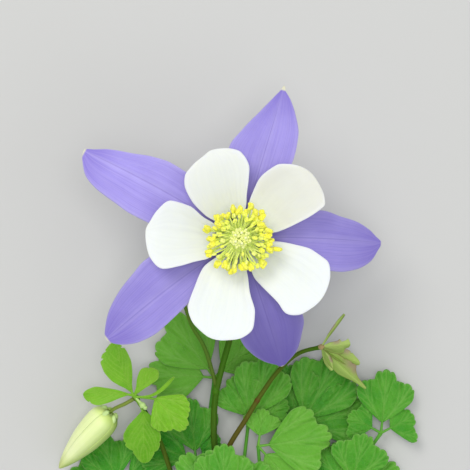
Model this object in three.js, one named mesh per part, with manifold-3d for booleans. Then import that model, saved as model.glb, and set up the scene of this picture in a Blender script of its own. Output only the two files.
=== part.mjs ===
// A Rocky Mountain columbine (Aquilegia coerulea), cut at the crown and laid on its back on a flat surface.
// Millimetres, +Z up from the surface, +Y from the crown towards the open bloom, which looks up along +Z
// and stands on the tips of its five spurs. The origin is under the middle of the plant, on the surface.
import * as THREE from "three";
import { mergeVertices } from "three/addons/utils/BufferGeometryUtils.js";
import Module from "manifold-3d";

const SLIVER = 0.02; // features finer than this are dropped where solids are joined
const FRAMES = 40; // steps along a curve at which the direction of a round body's rings is worked out

const wasm = await Module();
wasm.setup();

// ---------------------------------------------------------------- driving dimensions

const CENTRE_X = -0.9; // these two bring the middle of the plant over the origin
const CENTRE_Y = 3.8;
const BLADE = 0.7; // thickness of every petal, sepal and leaflet
const LEAST_UPPER = 0.6; // the upper face of a blade that lies on the surface is at least this high

// The open bloom. Angles are degrees anticlockwise from +X, seen from above: claw is where a sepal or
// petal leaves the middle, angle is where its tip points.
const BLOOM_X = 1.3;
const BLOOM_Y = 37.2;
const SEPAL_BASE_Z = 42.6;
const SEPAL_HALF_WIDTH = 8.5;
const SEPAL_ARCH = 2.6;
const SEPAL_CUP = 1.6;
const SEPAL_DISC = { topR: 2.7, bottomR: 2.4, height: 1.2 }; // joins the sepals' claws
const SEPALS = [
  { claw: 74, angle: 73.7, reach: 42.8, tipZ: 40 },
  { claw: 146, angle: 150.6, reach: 48, tipZ: 44 },
  { claw: 218, angle: 217.9, reach: 46.2, tipZ: 37 },
  { claw: 290, angle: 288.3, reach: 37.3, tipZ: 30 },
  { claw: 2, angle: -2, reach: 39.1, tipZ: 30 },
];
const PETAL_MOUTH_R = 5.5; // from the bloom's axis to the middle of each spur's mouth
const PETAL_MOUTH_Z = 45.2;
const PETAL_DISC = { r: 3.7, height: 1.1, z: 44.05 }; // joins the petals under the stamens
const PETAL_JOIN_R = 0.5;
const PETAL_RISE = 6.5;
const PETAL_CLIMB = 0.8; // the power of its rise, under 1 where it rises soonest near the mouth
const PETAL_HALF_WIDTH = 9;
const PETAL_CUP = 1.2;
const PETAL_BLUNT = 0.045; // how far a petal's sides stay behind its middle, as a share of its reach
const PETALS = [
  { claw: 110, angle: 108, reach: 24.2 },
  { claw: 38, angle: 41, reach: 25.2 },
  { claw: -34, angle: -37, reach: 26.5 },
  { claw: -106, angle: -104, reach: 27.4 },
  { claw: 182, angle: 176, reach: 24.8 },
];
const SPUR_TIP_R = 13;
const SPUR_KNOB = 1.05;
const STAMENS = 34;
const STAMEN_FEET = [1.6, 2.05, 2.4]; // the stamens' feet stand in three rings
const STAMEN_FOOT_Z = 45.5;
const STAMEN_INNER_SPREAD = 3.6; // how far out the innermost anthers stand
const STAMEN_SPREAD = 10.4; // and the outermost
const STAMEN_TOP_Z = 61.5;
const STAMEN_DOME = 6.5; // how much lower the outermost anthers stand
const STAMEN_KNEE = { spread: 0.42, height: 0.6 }; // where a filament bends, as shares of its spread and height
const STAMEN_COLLAR = { innerR: 1.25, outerR: 2.7, height: 1.3, z: 45.55 }; // joins the stamens' feet
const GOLDEN_ANGLE = 137.508;
const OVARY = { r: 0.95, height: 2.4, z: 46.1 };
const STYLE_PATH = [[0.5, 45.5], [0.9, 52], [1.9, 60.5]]; // a style's distance from the axis, and height

// The stalks, by radius, and the crown that they all spring from.
const FLOWER_STEM_R = 0.85;
const LOWER_STEM_R = 1.15;
const SIDE_STEM_R = 0.75;
const BUD_STEM_R = 0.7;
const BRANCH_R = 0.55;
const PETIOLE_R = 0.65;
const LEAFLET_STALK_R = 0.5;
const STALK_STRAIGHT = 2; // how far each stalk runs straight on from the crown
const PETIOLE_STEPS = 10;
const CROWN_X = -2;
const CROWN_TOP_Y = -73.6;
const CROWN_LENGTH = 12.5;
const CROWN_HALF_WIDTH = 7.2;
const CROWN_HALF_HEIGHT = 4.8;
const CROWN_DOME = 1.2;
const CROWN_UNDERSIDE = 1.35; // how far its round underside would reach past the surface, which flattens it
const SEAT_GAP = 0.55; // between the middle of a stalk's foot and the crown, whose top slopes away there

// ---------------------------------------------------------------- solids

const v3 = (x, y, z) => new THREE.Vector3(x, y, z);
const radians = THREE.MathUtils.degToRad;

// A closed triangle mesh from its corners and faces, turned so that its faces point out.
function closedMesh(points, faces) {
  const geometry = new THREE.BufferGeometry().setFromPoints(points);
  let volume = 0;
  for (const [a, b, c] of faces)
    volume += points[a].dot(points[b].clone().cross(points[c]));
  const outward = volume < 0 ? faces.map(([a, b, c]) => [a, c, b]) : faces;
  geometry.setIndex(outward.flat());
  return geometry;
}

// A thin sheet with a thickness. rows run from the foot to the tip, and each holds points from side to side.
// The two faces are split into the same triangles, and no point goes below the surface.
function blade(rows, thickness = BLADE) {
  const last = rows.length - 1;
  const side = rows[0].length - 1;
  const at = (i, j) => i * (side + 1) + j;
  const upper = [];
  const lower = [];
  rows.forEach((row, i) =>
    row.forEach((point, j) => {
      const along = rows[Math.min(i + 1, last)][j].clone().sub(rows[Math.max(i - 1, 0)][j]);
      const across = row[Math.min(j + 1, side)].clone().sub(row[Math.max(j - 1, 0)]);
      const half = along.cross(across).normalize().multiplyScalar(thickness / 2);
      const top = point.clone().add(half);
      const bottom = point.clone().sub(half);
      top.z = Math.max(top.z, LEAST_UPPER);
      bottom.z = Math.max(bottom.z, 0);
      upper.push(top);
      lower.push(bottom);
    }),
  );
  const below = upper.length;
  const faces = [];
  for (let i = 0; i < last; i++)
    for (let j = 0; j < side; j++) {
      const [a, b, c, d] = [at(i, j), at(i + 1, j), at(i + 1, j + 1), at(i, j + 1)];
      faces.push([a, b, c], [a, c, d], [below + a, below + c, below + b], [below + a, below + d, below + c]);
    }
  const rim = [];
  for (let i = 0; i < last; i++) rim.push(at(i, 0));
  for (let j = 0; j < side; j++) rim.push(at(last, j));
  for (let i = last; i > 0; i--) rim.push(at(i, side));
  for (let j = side; j > 0; j--) rim.push(at(0, j));
  rim.forEach((from, k) => {
    const to = rim[(k + 1) % rim.length];
    faces.push([from, below + from, below + to], [from, below + to, to]);
  });
  return closedMesh([...upper, ...lower], faces);
}

// A closed solid through rings of points, with a flat cap at each end.
function loft(rings) {
  const sides = rings[0].length;
  const faces = [];
  for (let i = 0; i < rings.length - 1; i++)
    for (let j = 0; j < sides; j++) {
      const a = i * sides + j;
      const b = i * sides + ((j + 1) % sides);
      faces.push([a, b, b + sides], [a, b + sides, a + sides]);
    }
  const end = (rings.length - 1) * sides;
  for (let j = 1; j < sides - 1; j++) faces.push([0, j + 1, j], [end, end + j, end + j + 1]);
  return closedMesh(rings.flat(), faces);
}

// A round body along a curve. Its profile holds [share of the length, radius] for each ring of corners,
// and flute waves the rings into five ribs.
function tapered(points, profile, sides, flute = 0) {
  const curve = new THREE.CatmullRomCurve3(points);
  const frames = curve.computeFrenetFrames(FRAMES);
  const rings = profile.map(([share, radius]) => {
    const centre = curve.getPointAt(share);
    const i = Math.round(share * FRAMES);
    return Array.from({ length: sides }, (_, j) => {
      const turn = (2 * Math.PI * j) / sides;
      const r = radius * (1 + flute * Math.cos(5 * turn));
      const point = centre
        .clone()
        .addScaledVector(frames.normals[i], r * Math.cos(turn))
        .addScaledVector(frames.binormals[i], r * Math.sin(turn));
      point.z = Math.max(point.z, 0);
      return point;
    });
  });
  return loft(rings);
}

// A plain stalk of one radius along a curve.
function stalk(points, radius, steps, sides = 6) {
  const section = new THREE.Shape();
  for (let j = 0; j < sides; j++) {
    const turn = (2 * Math.PI * j) / sides;
    const place = [radius * Math.cos(turn), radius * Math.sin(turn)];
    if (j) section.lineTo(...place);
    else section.moveTo(...place);
  }
  return new THREE.ExtrudeGeometry(section, {
    steps,
    bevelEnabled: false,
    extrudePath: new THREE.CatmullRomCurve3(points),
  });
}

// Joins closed geometries into one, without the slivers that the seams leave.
function fuse(geometries) {
  const whole = geometries
    .map((geometry) => {
      const bare = geometry.clone();
      bare.deleteAttribute("normal");
      bare.deleteAttribute("uv");
      const merged = mergeVertices(bare, 1e-4);
      return new wasm.Manifold(
        new wasm.Mesh({
          numProp: 3,
          vertProperties: merged.attributes.position.array,
          triVerts: new Uint32Array(merged.index.array),
        }),
      );
    })
    .reduce((sum, solid) => sum.add(solid))
    .asOriginal()
    .simplify(SLIVER);
  const mesh = whole.getMesh();
  return new THREE.BufferGeometry()
    .setAttribute("position", new THREE.BufferAttribute(mesh.vertProperties, 3))
    .setIndex(new THREE.BufferAttribute(mesh.triVerts, 1));
}

// ---------------------------------------------------------------- the open bloom

// A point given by its distance from the bloom's axis along a heading, its offset to the left, and its height.
function aroundBloom(angle, out, left, z) {
  const c = Math.cos(radians(angle));
  const s = Math.sin(radians(angle));
  return v3(BLOOM_X + out * c - left * s, BLOOM_Y + out * s + left * c, z);
}

const acrossBlade = (count) => Array.from({ length: count }, (_, j) => (2 * j) / (count - 1) - 1);

// Half-widths of a sepal from its claw to its pointed tip, as [share of the reach, share of the half-width].
const SEPAL_OUTLINE = [
  [0.04, 0.075],
  [0.16, 0.08],
  [0.23, 0.36],
  [0.32, 0.74],
  [0.46, 0.98],
  [0.6, 1],
  [0.73, 0.85],
  [0.85, 0.61],
  [0.94, 0.34],
  [1, 0.05],
];

function sepal({ claw, angle, reach, tipZ }) {
  const rows = SEPAL_OUTLINE.map(([t, share]) => {
    const bow = Math.sin(Math.PI * t) ** 2;
    const middle = SEPAL_BASE_Z + SEPAL_ARCH * bow - (SEPAL_BASE_Z - tipZ) * t * t;
    const heading = THREE.MathUtils.lerp(claw, angle, t);
    return acrossBlade(5).map((u) =>
      aroundBloom(heading, reach * t, u * share * SEPAL_HALF_WIDTH, middle + SEPAL_CUP * bow * u * u),
    );
  });
  return blade(rows);
}

function bloomSepals() {
  const disc = new THREE.CylinderGeometry(SEPAL_DISC.topR, SEPAL_DISC.bottomR, SEPAL_DISC.height, 10)
    .rotateX(Math.PI / 2)
    .translate(BLOOM_X, BLOOM_Y, SEPAL_BASE_Z - 0.1);
  return fuse([disc, ...SEPALS.map(sepal)]);
}

// Half-widths of a petal's blade from the spur's mouth to its blunt end.
const PETAL_OUTLINE = [
  [0.15, 0.26],
  [0.25, 0.48],
  [0.38, 0.72],
  [0.53, 0.91],
  [0.7, 1],
  [0.84, 0.95],
  [0.94, 0.74],
  [1, 0.42],
];

function petalBlade({ claw, angle, reach }) {
  const [foot] = PETAL_OUTLINE[0];
  const rows = PETAL_OUTLINE.map(([t, share]) => {
    const climb = ((t - foot) / (1 - foot)) ** PETAL_CLIMB;
    const heading = THREE.MathUtils.lerp(claw, angle, t);
    return acrossBlade(5).map((u) =>
      aroundBloom(
        heading,
        reach * t * (1 - PETAL_BLUNT * u * u),
        u * share * PETAL_HALF_WIDTH,
        PETAL_MOUTH_Z + PETAL_RISE * climb + PETAL_CUP * u * u * Math.sin(Math.PI * t),
      ),
    );
  });
  return blade(rows);
}

// A spur's radius from its mouth to the nectar knob at its tip.
const SPUR_PROFILE = [
  [0, 2.35],
  [0.13, 1.85],
  [0.35, 1.45],
  [0.6, 1.1],
  [0.85, 0.85],
  [0.93, 0.9],
  [0.97, SPUR_KNOB],
  [1, 0.8],
];

function spur({ claw }) {
  const path = [
    [PETAL_MOUTH_R, PETAL_MOUTH_Z],
    [PETAL_MOUTH_R + 0.4, 40],
    [7.2, 30],
    [9, 18],
    [11, 8],
    [SPUR_TIP_R - 0.3, 1.9],
    [SPUR_TIP_R, 0],
  ].map(([out, z]) => aroundBloom(claw, out, 0, z));
  return tapered(path, SPUR_PROFILE, 6);
}

function bloomPetals() {
  const disc = new THREE.CylinderGeometry(PETAL_DISC.r, PETAL_DISC.r, PETAL_DISC.height, 12)
    .rotateX(Math.PI / 2)
    .translate(BLOOM_X, BLOOM_Y, PETAL_DISC.z);
  const joins = PETALS.map(({ claw }) => {
    const ends = [PETAL_DISC.r - 1, PETAL_MOUTH_R].map((out) => aroundBloom(claw, out, 0, PETAL_DISC.z));
    return stalk(ends, PETAL_JOIN_R, 1, 4);
  });
  return fuse([disc, ...joins, ...PETALS.map(spur), ...PETALS.map(petalBlade)]);
}

// A stamen's radius from its foot up its filament and over its anther.
const STAMEN_PROFILE = [
  [0, 0.32],
  [0.84, 0.3],
  [0.9, 0.68],
  [1, 0.36],
];

// The stamens stand in a spiral round the pistils, the outer ones lower and leaning further out.
function stamen(k) {
  const share = Math.sqrt((k + 0.5) / STAMENS);
  const angle = k * GOLDEN_ANGLE;
  const spread = STAMEN_INNER_SPREAD + (STAMEN_SPREAD - STAMEN_INNER_SPREAD) * share;
  const topZ = STAMEN_TOP_Z - STAMEN_DOME * share * share;
  const footR = STAMEN_FEET[k % STAMEN_FEET.length];
  const kneeR = THREE.MathUtils.lerp(footR, spread, STAMEN_KNEE.spread);
  const kneeZ = THREE.MathUtils.lerp(STAMEN_FOOT_Z, topZ, STAMEN_KNEE.height);
  const path = [
    [footR, STAMEN_FOOT_Z],
    [kneeR, kneeZ],
    [spread, topZ],
  ].map(([out, z]) => aroundBloom(angle, out, 0, z));
  return tapered(path, STAMEN_PROFILE, 4);
}

function bloomStamens() {
  const { innerR, outerR, height, z } = STAMEN_COLLAR;
  const profile = [
    [innerR, -height / 2],
    [outerR, -height / 2],
    [outerR, height / 2],
    [innerR, height / 2],
    [innerR, -height / 2],
  ].map(([r, h]) => new THREE.Vector2(r, h));
  const collar = new THREE.LatheGeometry(profile, 12).rotateX(Math.PI / 2).translate(BLOOM_X, BLOOM_Y, z);
  return fuse([collar, ...Array.from({ length: STAMENS }, (_, k) => stamen(k))]);
}

const STYLE_PROFILE = [
  [0, 0.42],
  [0.5, 0.38],
  [1, 0.3],
];

// Five pistils, one before each sepal, joined at their ovaries.
function bloomPistils() {
  const ovary = new THREE.CylinderGeometry(OVARY.r, OVARY.r, OVARY.height, 8)
    .rotateX(Math.PI / 2)
    .translate(BLOOM_X, BLOOM_Y, OVARY.z);
  const styles = SEPALS.map(({ claw }) => {
    const path = STYLE_PATH.map(([out, z]) => aroundBloom(claw, out, 0, z));
    return tapered(path, STYLE_PROFILE, 4);
  });
  return fuse([ovary, ...styles]);
}

// ---------------------------------------------------------------- buds

// A closed bud's outline, as shares of its length and of its greatest radius.
const BUD_OUTLINE = [
  [0, 0.35],
  [0.07, 0.78],
  [0.2, 0.97],
  [0.38, 0.98],
  [0.6, 0.72],
  [0.82, 0.36],
  [1, 0.08],
];

// A closed bud from its foot to its tip, with five short spurs standing back round its foot.
function bud(foot, tip, radius, spurLength) {
  const axis = tip.clone().sub(foot);
  const length = axis.length();
  axis.normalize();
  const sideways = v3(0, 0, 1).cross(axis).normalize();
  const upright = axis.clone().cross(sideways);
  const outline = BUD_OUTLINE.map(([share, wide]) => [share, wide * radius]);
  const body = tapered([foot, foot.clone().lerp(tip, 0.5), tip], outline, 10, 0.05);
  const spurs = [0, 1, 2, 3, 4].map((k) => {
    const turn = radians(72 * k + 36);
    const outward = sideways.clone().multiplyScalar(Math.cos(turn)).addScaledVector(upright, Math.sin(turn));
    const at = (along, out) => foot.clone().addScaledVector(axis, along).addScaledVector(outward, out);
    return tapered(
      [at(0.12 * length, 0.6 * radius), at(0, 0.68 * radius), at(-spurLength, 0.56 * radius)],
      [
        [0, 0.2 * radius],
        [0.6, 0.28 * radius],
        [1, 0.14 * radius],
      ],
      4,
    );
  });
  return fuse([body, ...spurs]);
}

// ---------------------------------------------------------------- leaves

// A narrow blade from one point to another, folded along its midrib.
function lance(from, to, width, fold = 0.4) {
  const along = to.clone().sub(from);
  const left = v3(-along.y, along.x, 0).normalize();
  const rows = [
    [0, 0.3],
    [0.25, 0.8],
    [0.5, 1],
    [0.75, 0.7],
    [1, 0.12],
  ].map(([t, share]) =>
    [-1, 0, 1].map((u) => {
      const aside = (u * share * width) / 2;
      const point = from.clone().addScaledVector(along, t).addScaledVector(left, aside);
      point.z += fold * Math.abs(aside);
      return point;
    }),
  );
  return blade(rows);
}

// How far the outline of a three-lobed leaflet stands out, column by column, from one side to the other.
const LEAFLET_COLUMNS = [0.84, 0.98, 0.94, 0.8, 0.96, 1, 0.96, 0.8, 0.94, 0.98, 0.84];
const LEAFLET_FAN = 56; // degrees from the midrib to the outline's outer corner
const LEAFLET_ROWS = [0.08, 0.54, 1]; // shares of the length
const LEAFLET_ARCH = 0.16;
const LEAFLET_CUP = 0.1;
const LEAFLET_WAVE = 0.035;

// A wedge-shaped leaflet with three lobes on its own short stalk. It points along its heading from the
// leaf's node, climbs at its pitch and leans over by its roll, in degrees.
function leaflet(node, { heading, pitch = 5, roll = 0, length, width, stalkLength = 3 }) {
  const place = new THREE.Matrix4()
    .makeRotationZ(radians(heading))
    .multiply(new THREE.Matrix4().makeRotationY(radians(-pitch)))
    .multiply(new THREE.Matrix4().makeRotationX(radians(roll)))
    .setPosition(node);
  const fan = length - stalkLength;
  const columns = acrossBlade(LEAFLET_COLUMNS.length);
  const spread = width / (2 * Math.sin(radians(LEAFLET_FAN)) * 0.86 * fan);
  const rows = LEAFLET_ROWS.map((share) =>
    columns.map((u, j) => {
      const phi = radians(LEAFLET_FAN * u);
      const r = fan * share * (share < 1 ? 0.9 : LEAFLET_COLUMNS[j]);
      const x = r * Math.cos(phi);
      const y = r * spread * (1.25 - 0.25 * share) * Math.sin(phi);
      const bend = LEAFLET_CUP * u * u * share - LEAFLET_ARCH * (x / fan) ** 2;
      const wave = LEAFLET_WAVE * share * share * Math.cos(3 * Math.PI * u);
      return v3(stalkLength + x, y, fan * (bend + wave)).applyMatrix4(place);
    }),
  );
  const ends = [0, stalkLength + 0.2 * fan].map((x) => v3(x, 0, 0).applyMatrix4(place));
  return [blade(rows), stalk(ends, LEAFLET_STALK_R, 1, 4)];
}

// The first two points of a stalk, which leaves the crown's top square to it.
function seated(across, z) {
  const y = crownTop(across, z) + SEAT_GAP;
  return [v3(CROWN_X + across, y, z), v3(CROWN_X + across, y + STALK_STRAIGHT, z)];
}

// A leaf: its petiole from the crown to the node, and its leaflets round the node. seat is where the
// petiole leaves the crown: its place across the crown and its height.
function leaf({ seat, petiole, leaflets }) {
  const path = [...seated(...seat), ...petiole.map((place) => v3(...place))];
  const node = path[path.length - 1];
  return fuse([stalk(path, PETIOLE_R, PETIOLE_STEPS, 5), ...leaflets.flatMap((each) => leaflet(node, each))]);
}

// The basal leaves, the furthest from the crown lying lowest. leaflets go by heading from the node.
const LEAVES = {
  leaf_behind_bloom: {
    seat: [-1.6, 1.7],
    petiole: [[-5.5, -50, 1.3], [-8.2, -24, 1.4], [-6.1, -3.8, 2.2]],
    leaflets: [
      { heading: 175, pitch: 4, roll: 6, length: 20, width: 19 },
      { heading: 126, pitch: 6, roll: -5, length: 22.5, width: 20 },
      { heading: 42, pitch: 4, roll: 4, length: 16, width: 16 },
    ],
  },
  leaf_right_far: {
    seat: [1.6, 1.7],
    petiole: [[5, -55, 1.4], [13, -33, 1.4], [19, -18.5, 1.9]],
    leaflets: [
      { heading: 104, pitch: 5, roll: 5, length: 19, width: 18 },
      { heading: 62, pitch: 5, roll: 0, length: 24, width: 21 },
      { heading: 18, pitch: 4, roll: -6, length: 21, width: 18 },
    ],
  },
  leaf_right_edge: {
    seat: [4.6, 2.2],
    petiole: [[14, -57, 2.6], [30, -38, 3.6], [42.5, -19.7, 5]],
    leaflets: [
      { heading: 84, pitch: 5, roll: 6, length: 18.5, width: 17 },
      { heading: 28, pitch: 2, roll: -4, length: 11, width: 14 },
      { heading: 150, pitch: 8, roll: 4, length: 11, width: 12 },
    ],
  },
  leaf_left_low: {
    seat: [-4.9, 2.2],
    petiole: [[-14, -60, 1.8], [-26, -48, 1.6], [-34, -36.7, 1.9]],
    leaflets: [
      { heading: 108, pitch: 2, roll: 4, length: 16.5, width: 16 },
      { heading: 164, pitch: 1, roll: 4, length: 16, width: 16 },
      { heading: 30, pitch: 2, roll: -4, length: 16.5, width: 16 },
    ],
  },
  leaf_centre: {
    seat: [0.4, 4],
    petiole: [[0.6, -52, 4], [2.2, -32, 4.2], [3.8, -17.4, 5]],
    leaflets: [
      { heading: 106, pitch: 8, roll: 5, length: 15, width: 15 },
      { heading: 72, pitch: 7, roll: 0, length: 22, width: 17 },
      { heading: 32, pitch: 6, roll: -5, length: 13.5, width: 14 },
    ],
  },
  leaf_left_inner: {
    seat: [-3.2, 4.4],
    petiole: [[-7.5, -55, 4], [-10.5, -40, 4], [-11.3, -28, 4.8]],
    leaflets: [
      { heading: 96, pitch: 4, roll: 6, length: 18.5, width: 15.5 },
      { heading: 158, pitch: 4, roll: 4, length: 18, width: 16 },
      { heading: 52, pitch: 3, roll: -8, length: 10, width: 10 },
    ],
  },
  leaf_right_middle: {
    seat: [3.4, 4.6],
    petiole: [[6, -52, 5.4], [7.4, -36, 6.4], [6.7, -23.2, 7.4]],
    leaflets: [
      { heading: 8, pitch: 8, roll: 4, length: 21.5, width: 20 },
      { heading: -48, pitch: 4, roll: -4, length: 19.5, width: 18 },
      { heading: 82, pitch: 6, roll: 0, length: 11, width: 11 },
    ],
  },
  leaf_right_low: {
    seat: [5.6, 4.6],
    petiole: [[15, -60, 4.8], [26, -46, 4.9], [33.4, -35.4, 5.2]],
    leaflets: [
      { heading: 75, pitch: 20, roll: 5, length: 17, width: 17 },
      { heading: 20, pitch: 4, roll: 5, length: 15.5, width: 15 },
      { heading: 136, pitch: 1, roll: 4, length: 15, width: 15 },
    ],
  },
  leaf_front: {
    seat: [2.4, 7.2],
    petiole: [[2.6, -62, 10], [0.4, -50, 12.4], [-3.7, -40, 13.2]],
    leaflets: [
      { heading: 128, pitch: 8, roll: 8, length: 19, width: 18 },
      { heading: 88, pitch: 12, roll: 0, length: 18.5, width: 17 },
      { heading: 42, pitch: 6, roll: -8, length: 18, width: 17 },
    ],
  },
};

// The bright young leaves over the node at the top of the bud's stem, with a narrow bract and a tiny bud.
const TINY_BUD_PROFILE = [
  [0, 0.4],
  [0.5, 0.7],
  [0.8, 0.9],
  [1, 0.4],
];
const SPRAY_NODE = v3(-28.4, -8.6, 13.4);
const SPRAY_HUB = v3(-28.6, -8.4, 15.3);
const SPRAY_LEAFLETS = [
  { heading: 104, pitch: 14, length: 16, width: 9, stalkLength: 1.6 },
  { heading: 174, pitch: 10, length: 14.4, width: 7, stalkLength: 2 },
  { heading: 53, pitch: 18, length: 10.2, width: 6.4, stalkLength: 1.2 },
  { heading: -26, pitch: 9, roll: -6, length: 17.4, width: 11.5, stalkLength: 4 },
  { heading: -83, pitch: 1, length: 19.4, width: 11, stalkLength: 3.4 },
];

function sprayLeaves() {
  return fuse([
    new THREE.IcosahedronGeometry(0.9, 0).translate(...SPRAY_HUB),
    ...SPRAY_LEAFLETS.flatMap((each) => leaflet(SPRAY_HUB, each)),
    lance(SPRAY_HUB, v3(-16.7, -2.2, 18.6), 1.4, 0.2),
    tapered([SPRAY_HUB, v3(-27.4, -10.2, 16.2), v3(-27, -11.2, 16)], TINY_BUD_PROFILE, 5),
  ]);
}

// ---------------------------------------------------------------- stems and crown

function flowerStem() {
  const fork = v3(-4.1, -33.6, 7.5);
  const main = [
    v3(BLOOM_X, BLOOM_Y, 39.5),
    v3(1.4, 36.8, 30),
    v3(1.6, 35, 20),
    v3(2, 30.3, 13),
    v3(0.9, 19.4, 10.8),
    v3(-1.7, 7.4, 10.2),
    v3(-4, -0.9, 10),
    v3(-5.8, -9.6, 9.5),
    v3(-5.9, -23.3, 8.6),
    fork,
  ];
  const foot = [fork, v3(-3.2, -50.7, 7.2), ...seated(0, 7.4).reverse()];
  const right = [
    fork,
    v3(-2.3, -24.4, 9),
    v3(3.5, -14.5, 10),
    v3(7.8, -7.5, 10.5),
    v3(12.7, -0.8, 11),
    v3(18.4, 4.1, 12.5),
    v3(24.3, 6, 14),
  ];
  const left = [
    v3(-5.4, -5.6, 9.8),
    v3(-8.9, 5.7, 10),
    v3(-12.4, 11.8, 11),
    v3(-14.4, 17.6, 12),
    v3(-16.3, 23, 13),
  ];
  const receptacle = tapered(
    [v3(BLOOM_X, BLOOM_Y, 36.5), v3(BLOOM_X, BLOOM_Y, 41.5)],
    [
      [0, 0.8],
      [0.5, 1.3],
      [1, 2.3],
    ],
    8,
  );
  return fuse([
    receptacle,
    stalk(main, FLOWER_STEM_R, 20),
    stalk(foot, LOWER_STEM_R, 6),
    stalk(right, SIDE_STEM_R, 10, 5),
    stalk(left, BRANCH_R, 6, 5),
    new THREE.IcosahedronGeometry(1.5, 0).translate(...fork),
  ]);
}

function budStem() {
  const stem = [
    ...seated(-3.4, 7),
    v3(-11.3, -50.7, 7.4),
    v3(-18.2, -31.5, 9),
    v3(-21.6, -21.4, 10.4),
    v3(-24.4, -15.1, 11.8),
    SPRAY_NODE,
  ];
  const pedicel = [SPRAY_NODE, v3(-31.8, -10.4, 13.4), v3(-35.24, -13.12, 12.3)];
  return fuse([
    stalk(stem, BUD_STEM_R, 12, 5),
    stalk(pedicel, BRANCH_R, 3, 5),
    new THREE.IcosahedronGeometry(0.95, 0).translate(...SPRAY_NODE),
  ]);
}

// How far forward the crown's domed top stands, at a place across it and up from the surface.
function crownTop(across, z) {
  const off = (across / CROWN_HALF_WIDTH) ** 2 + (z / CROWN_HALF_HEIGHT - 1) ** 2;
  return CROWN_TOP_Y + CROWN_DOME * (1 - Math.min(off, 1));
}

// The crown's outline from its domed top back to its cut end, as [y from its edge, share of its width].
const CROWN_OUTLINE = [
  [CROWN_DOME, 0.1],
  [0.6 * CROWN_DOME, 0.63],
  [0, 1],
  [-2.5, 0.97],
  [-5.5, 0.78],
  [-8.5, 0.58],
  [-CROWN_LENGTH, 0.5],
];
const CROWN_SIDES = 14;

// The top of the rootstock: broad and knobbly, flat below where it lies, cut off square behind,
// with the stumps of three side roots.
function crown() {
  const rings = CROWN_OUTLINE.map(([back, share], i) =>
    Array.from({ length: CROWN_SIDES }, (_, j) => {
      const turn = (2 * Math.PI * j) / CROWN_SIDES;
      const knobbly = share * (back < 0 ? 1 + 0.07 * Math.cos(3 * turn + 2 * i) : 1);
      const deep = Math.sin(turn) < 0 ? CROWN_UNDERSIDE : 1;
      const z = CROWN_HALF_HEIGHT * (1 + deep * knobbly * Math.sin(turn));
      return v3(CROWN_X + CROWN_HALF_WIDTH * knobbly * Math.cos(turn), CROWN_TOP_Y + back, Math.max(z, 0));
    }),
  );
  const roots = [
    [v3(-3, -78, 3.4), v3(-7.4, -81, 2), v3(-9.6, -85.5, 1.2)],
    [v3(-1, -78, 3.4), v3(3.4, -80.6, 2.4), v3(5.6, -84.6, 1.2)],
    [v3(-1.6, -80, 5), v3(-0.6, -83.5, 7.4), v3(0.6, -85.6, 8.6)],
  ];
  const profile = [
    [0, 1.9],
    [0.5, 1.3],
    [1, 0.8],
  ];
  return fuse([loft(rings), ...roots.map((path) => tapered(path, profile, 6))]);
}

// ---------------------------------------------------------------- the small parts of the right branch

function foldedBract() {
  const foot = v3(25.3, 5.6, 14.6);
  return fuse([
    lance(foot, v3(38.1, -6.4, 11), 5.6, 0.5),
    lance(foot, v3(34.8, 2.2, 14), 5, 0.3),
    lance(foot, v3(31, 7.4, 15), 4, 0.3),
    lance(foot, v3(26.9, -1, 13.6), 2.8, 0.3),
  ]);
}

// ---------------------------------------------------------------- the plant

const COLOURS = {
  sepal: 0x9a8be0,
  petal: 0xf4f4ea,
  anther: 0xeceb48,
  pistil: 0xd2de8a,
  stem: 0x5b6f26,
  crown: 0x5d4a33,
  leaf: 0x4e9338,
  youngLeaf: 0x77b32c,
  bud: 0xdcec9a,
};

const plant = new THREE.Group();
const laid = new THREE.Group();
laid.position.set(CENTRE_X, CENTRE_Y, 0);
plant.add(laid);

function add(name, geometry, colour, roughness = 0.6) {
  const material = new THREE.MeshStandardMaterial({ color: COLOURS[colour], roughness, metalness: 0 });
  const mesh = new THREE.Mesh(geometry, material);
  mesh.name = name;
  laid.add(mesh);
}

add("crown", crown(), "crown", 0.9);
add("flower_stem", flowerStem(), "stem");
add("bud_stem", budStem(), "stem");
add("bloom_sepals", bloomSepals(), "sepal", 0.5);
add("bloom_petals", bloomPetals(), "petal", 0.5);
add("bloom_stamens", bloomStamens(), "anther");
add("bloom_pistils", bloomPistils(), "pistil");
add("pale_bud", bud(v3(-35.5, -13.4, 12.2), v3(-51.1, -29.4, 7), 3.9, 1.6), "bud");
add("small_bud", bud(v3(-16.7, 24.4, 13), v3(-19.8, 37.7, 12), 2.4, 1), "bud");
add("branch_bract_linear", lance(v3(24.7, 7.2, 14.5), v3(30.8, 15.7, 20), 1.6, 0.2), "youngLeaf");
add("branch_bract_folded", foldedBract(), "youngLeaf");
add("spray_leaves", sprayLeaves(), "youngLeaf");
for (const [name, description] of Object.entries(LEAVES)) add(name, leaf(description), "leaf");

export default plant;
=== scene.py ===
"""The looks of a Rocky Mountain columbine that lies on its back, its bloom facing up, round its CAD solids.

Shapes are worked out in the plant's own millimetres, as its solids are, and go to metres in the row's frame.
"""
import math

import bpy
import numpy as np
from mathutils import Matrix, Vector


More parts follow.
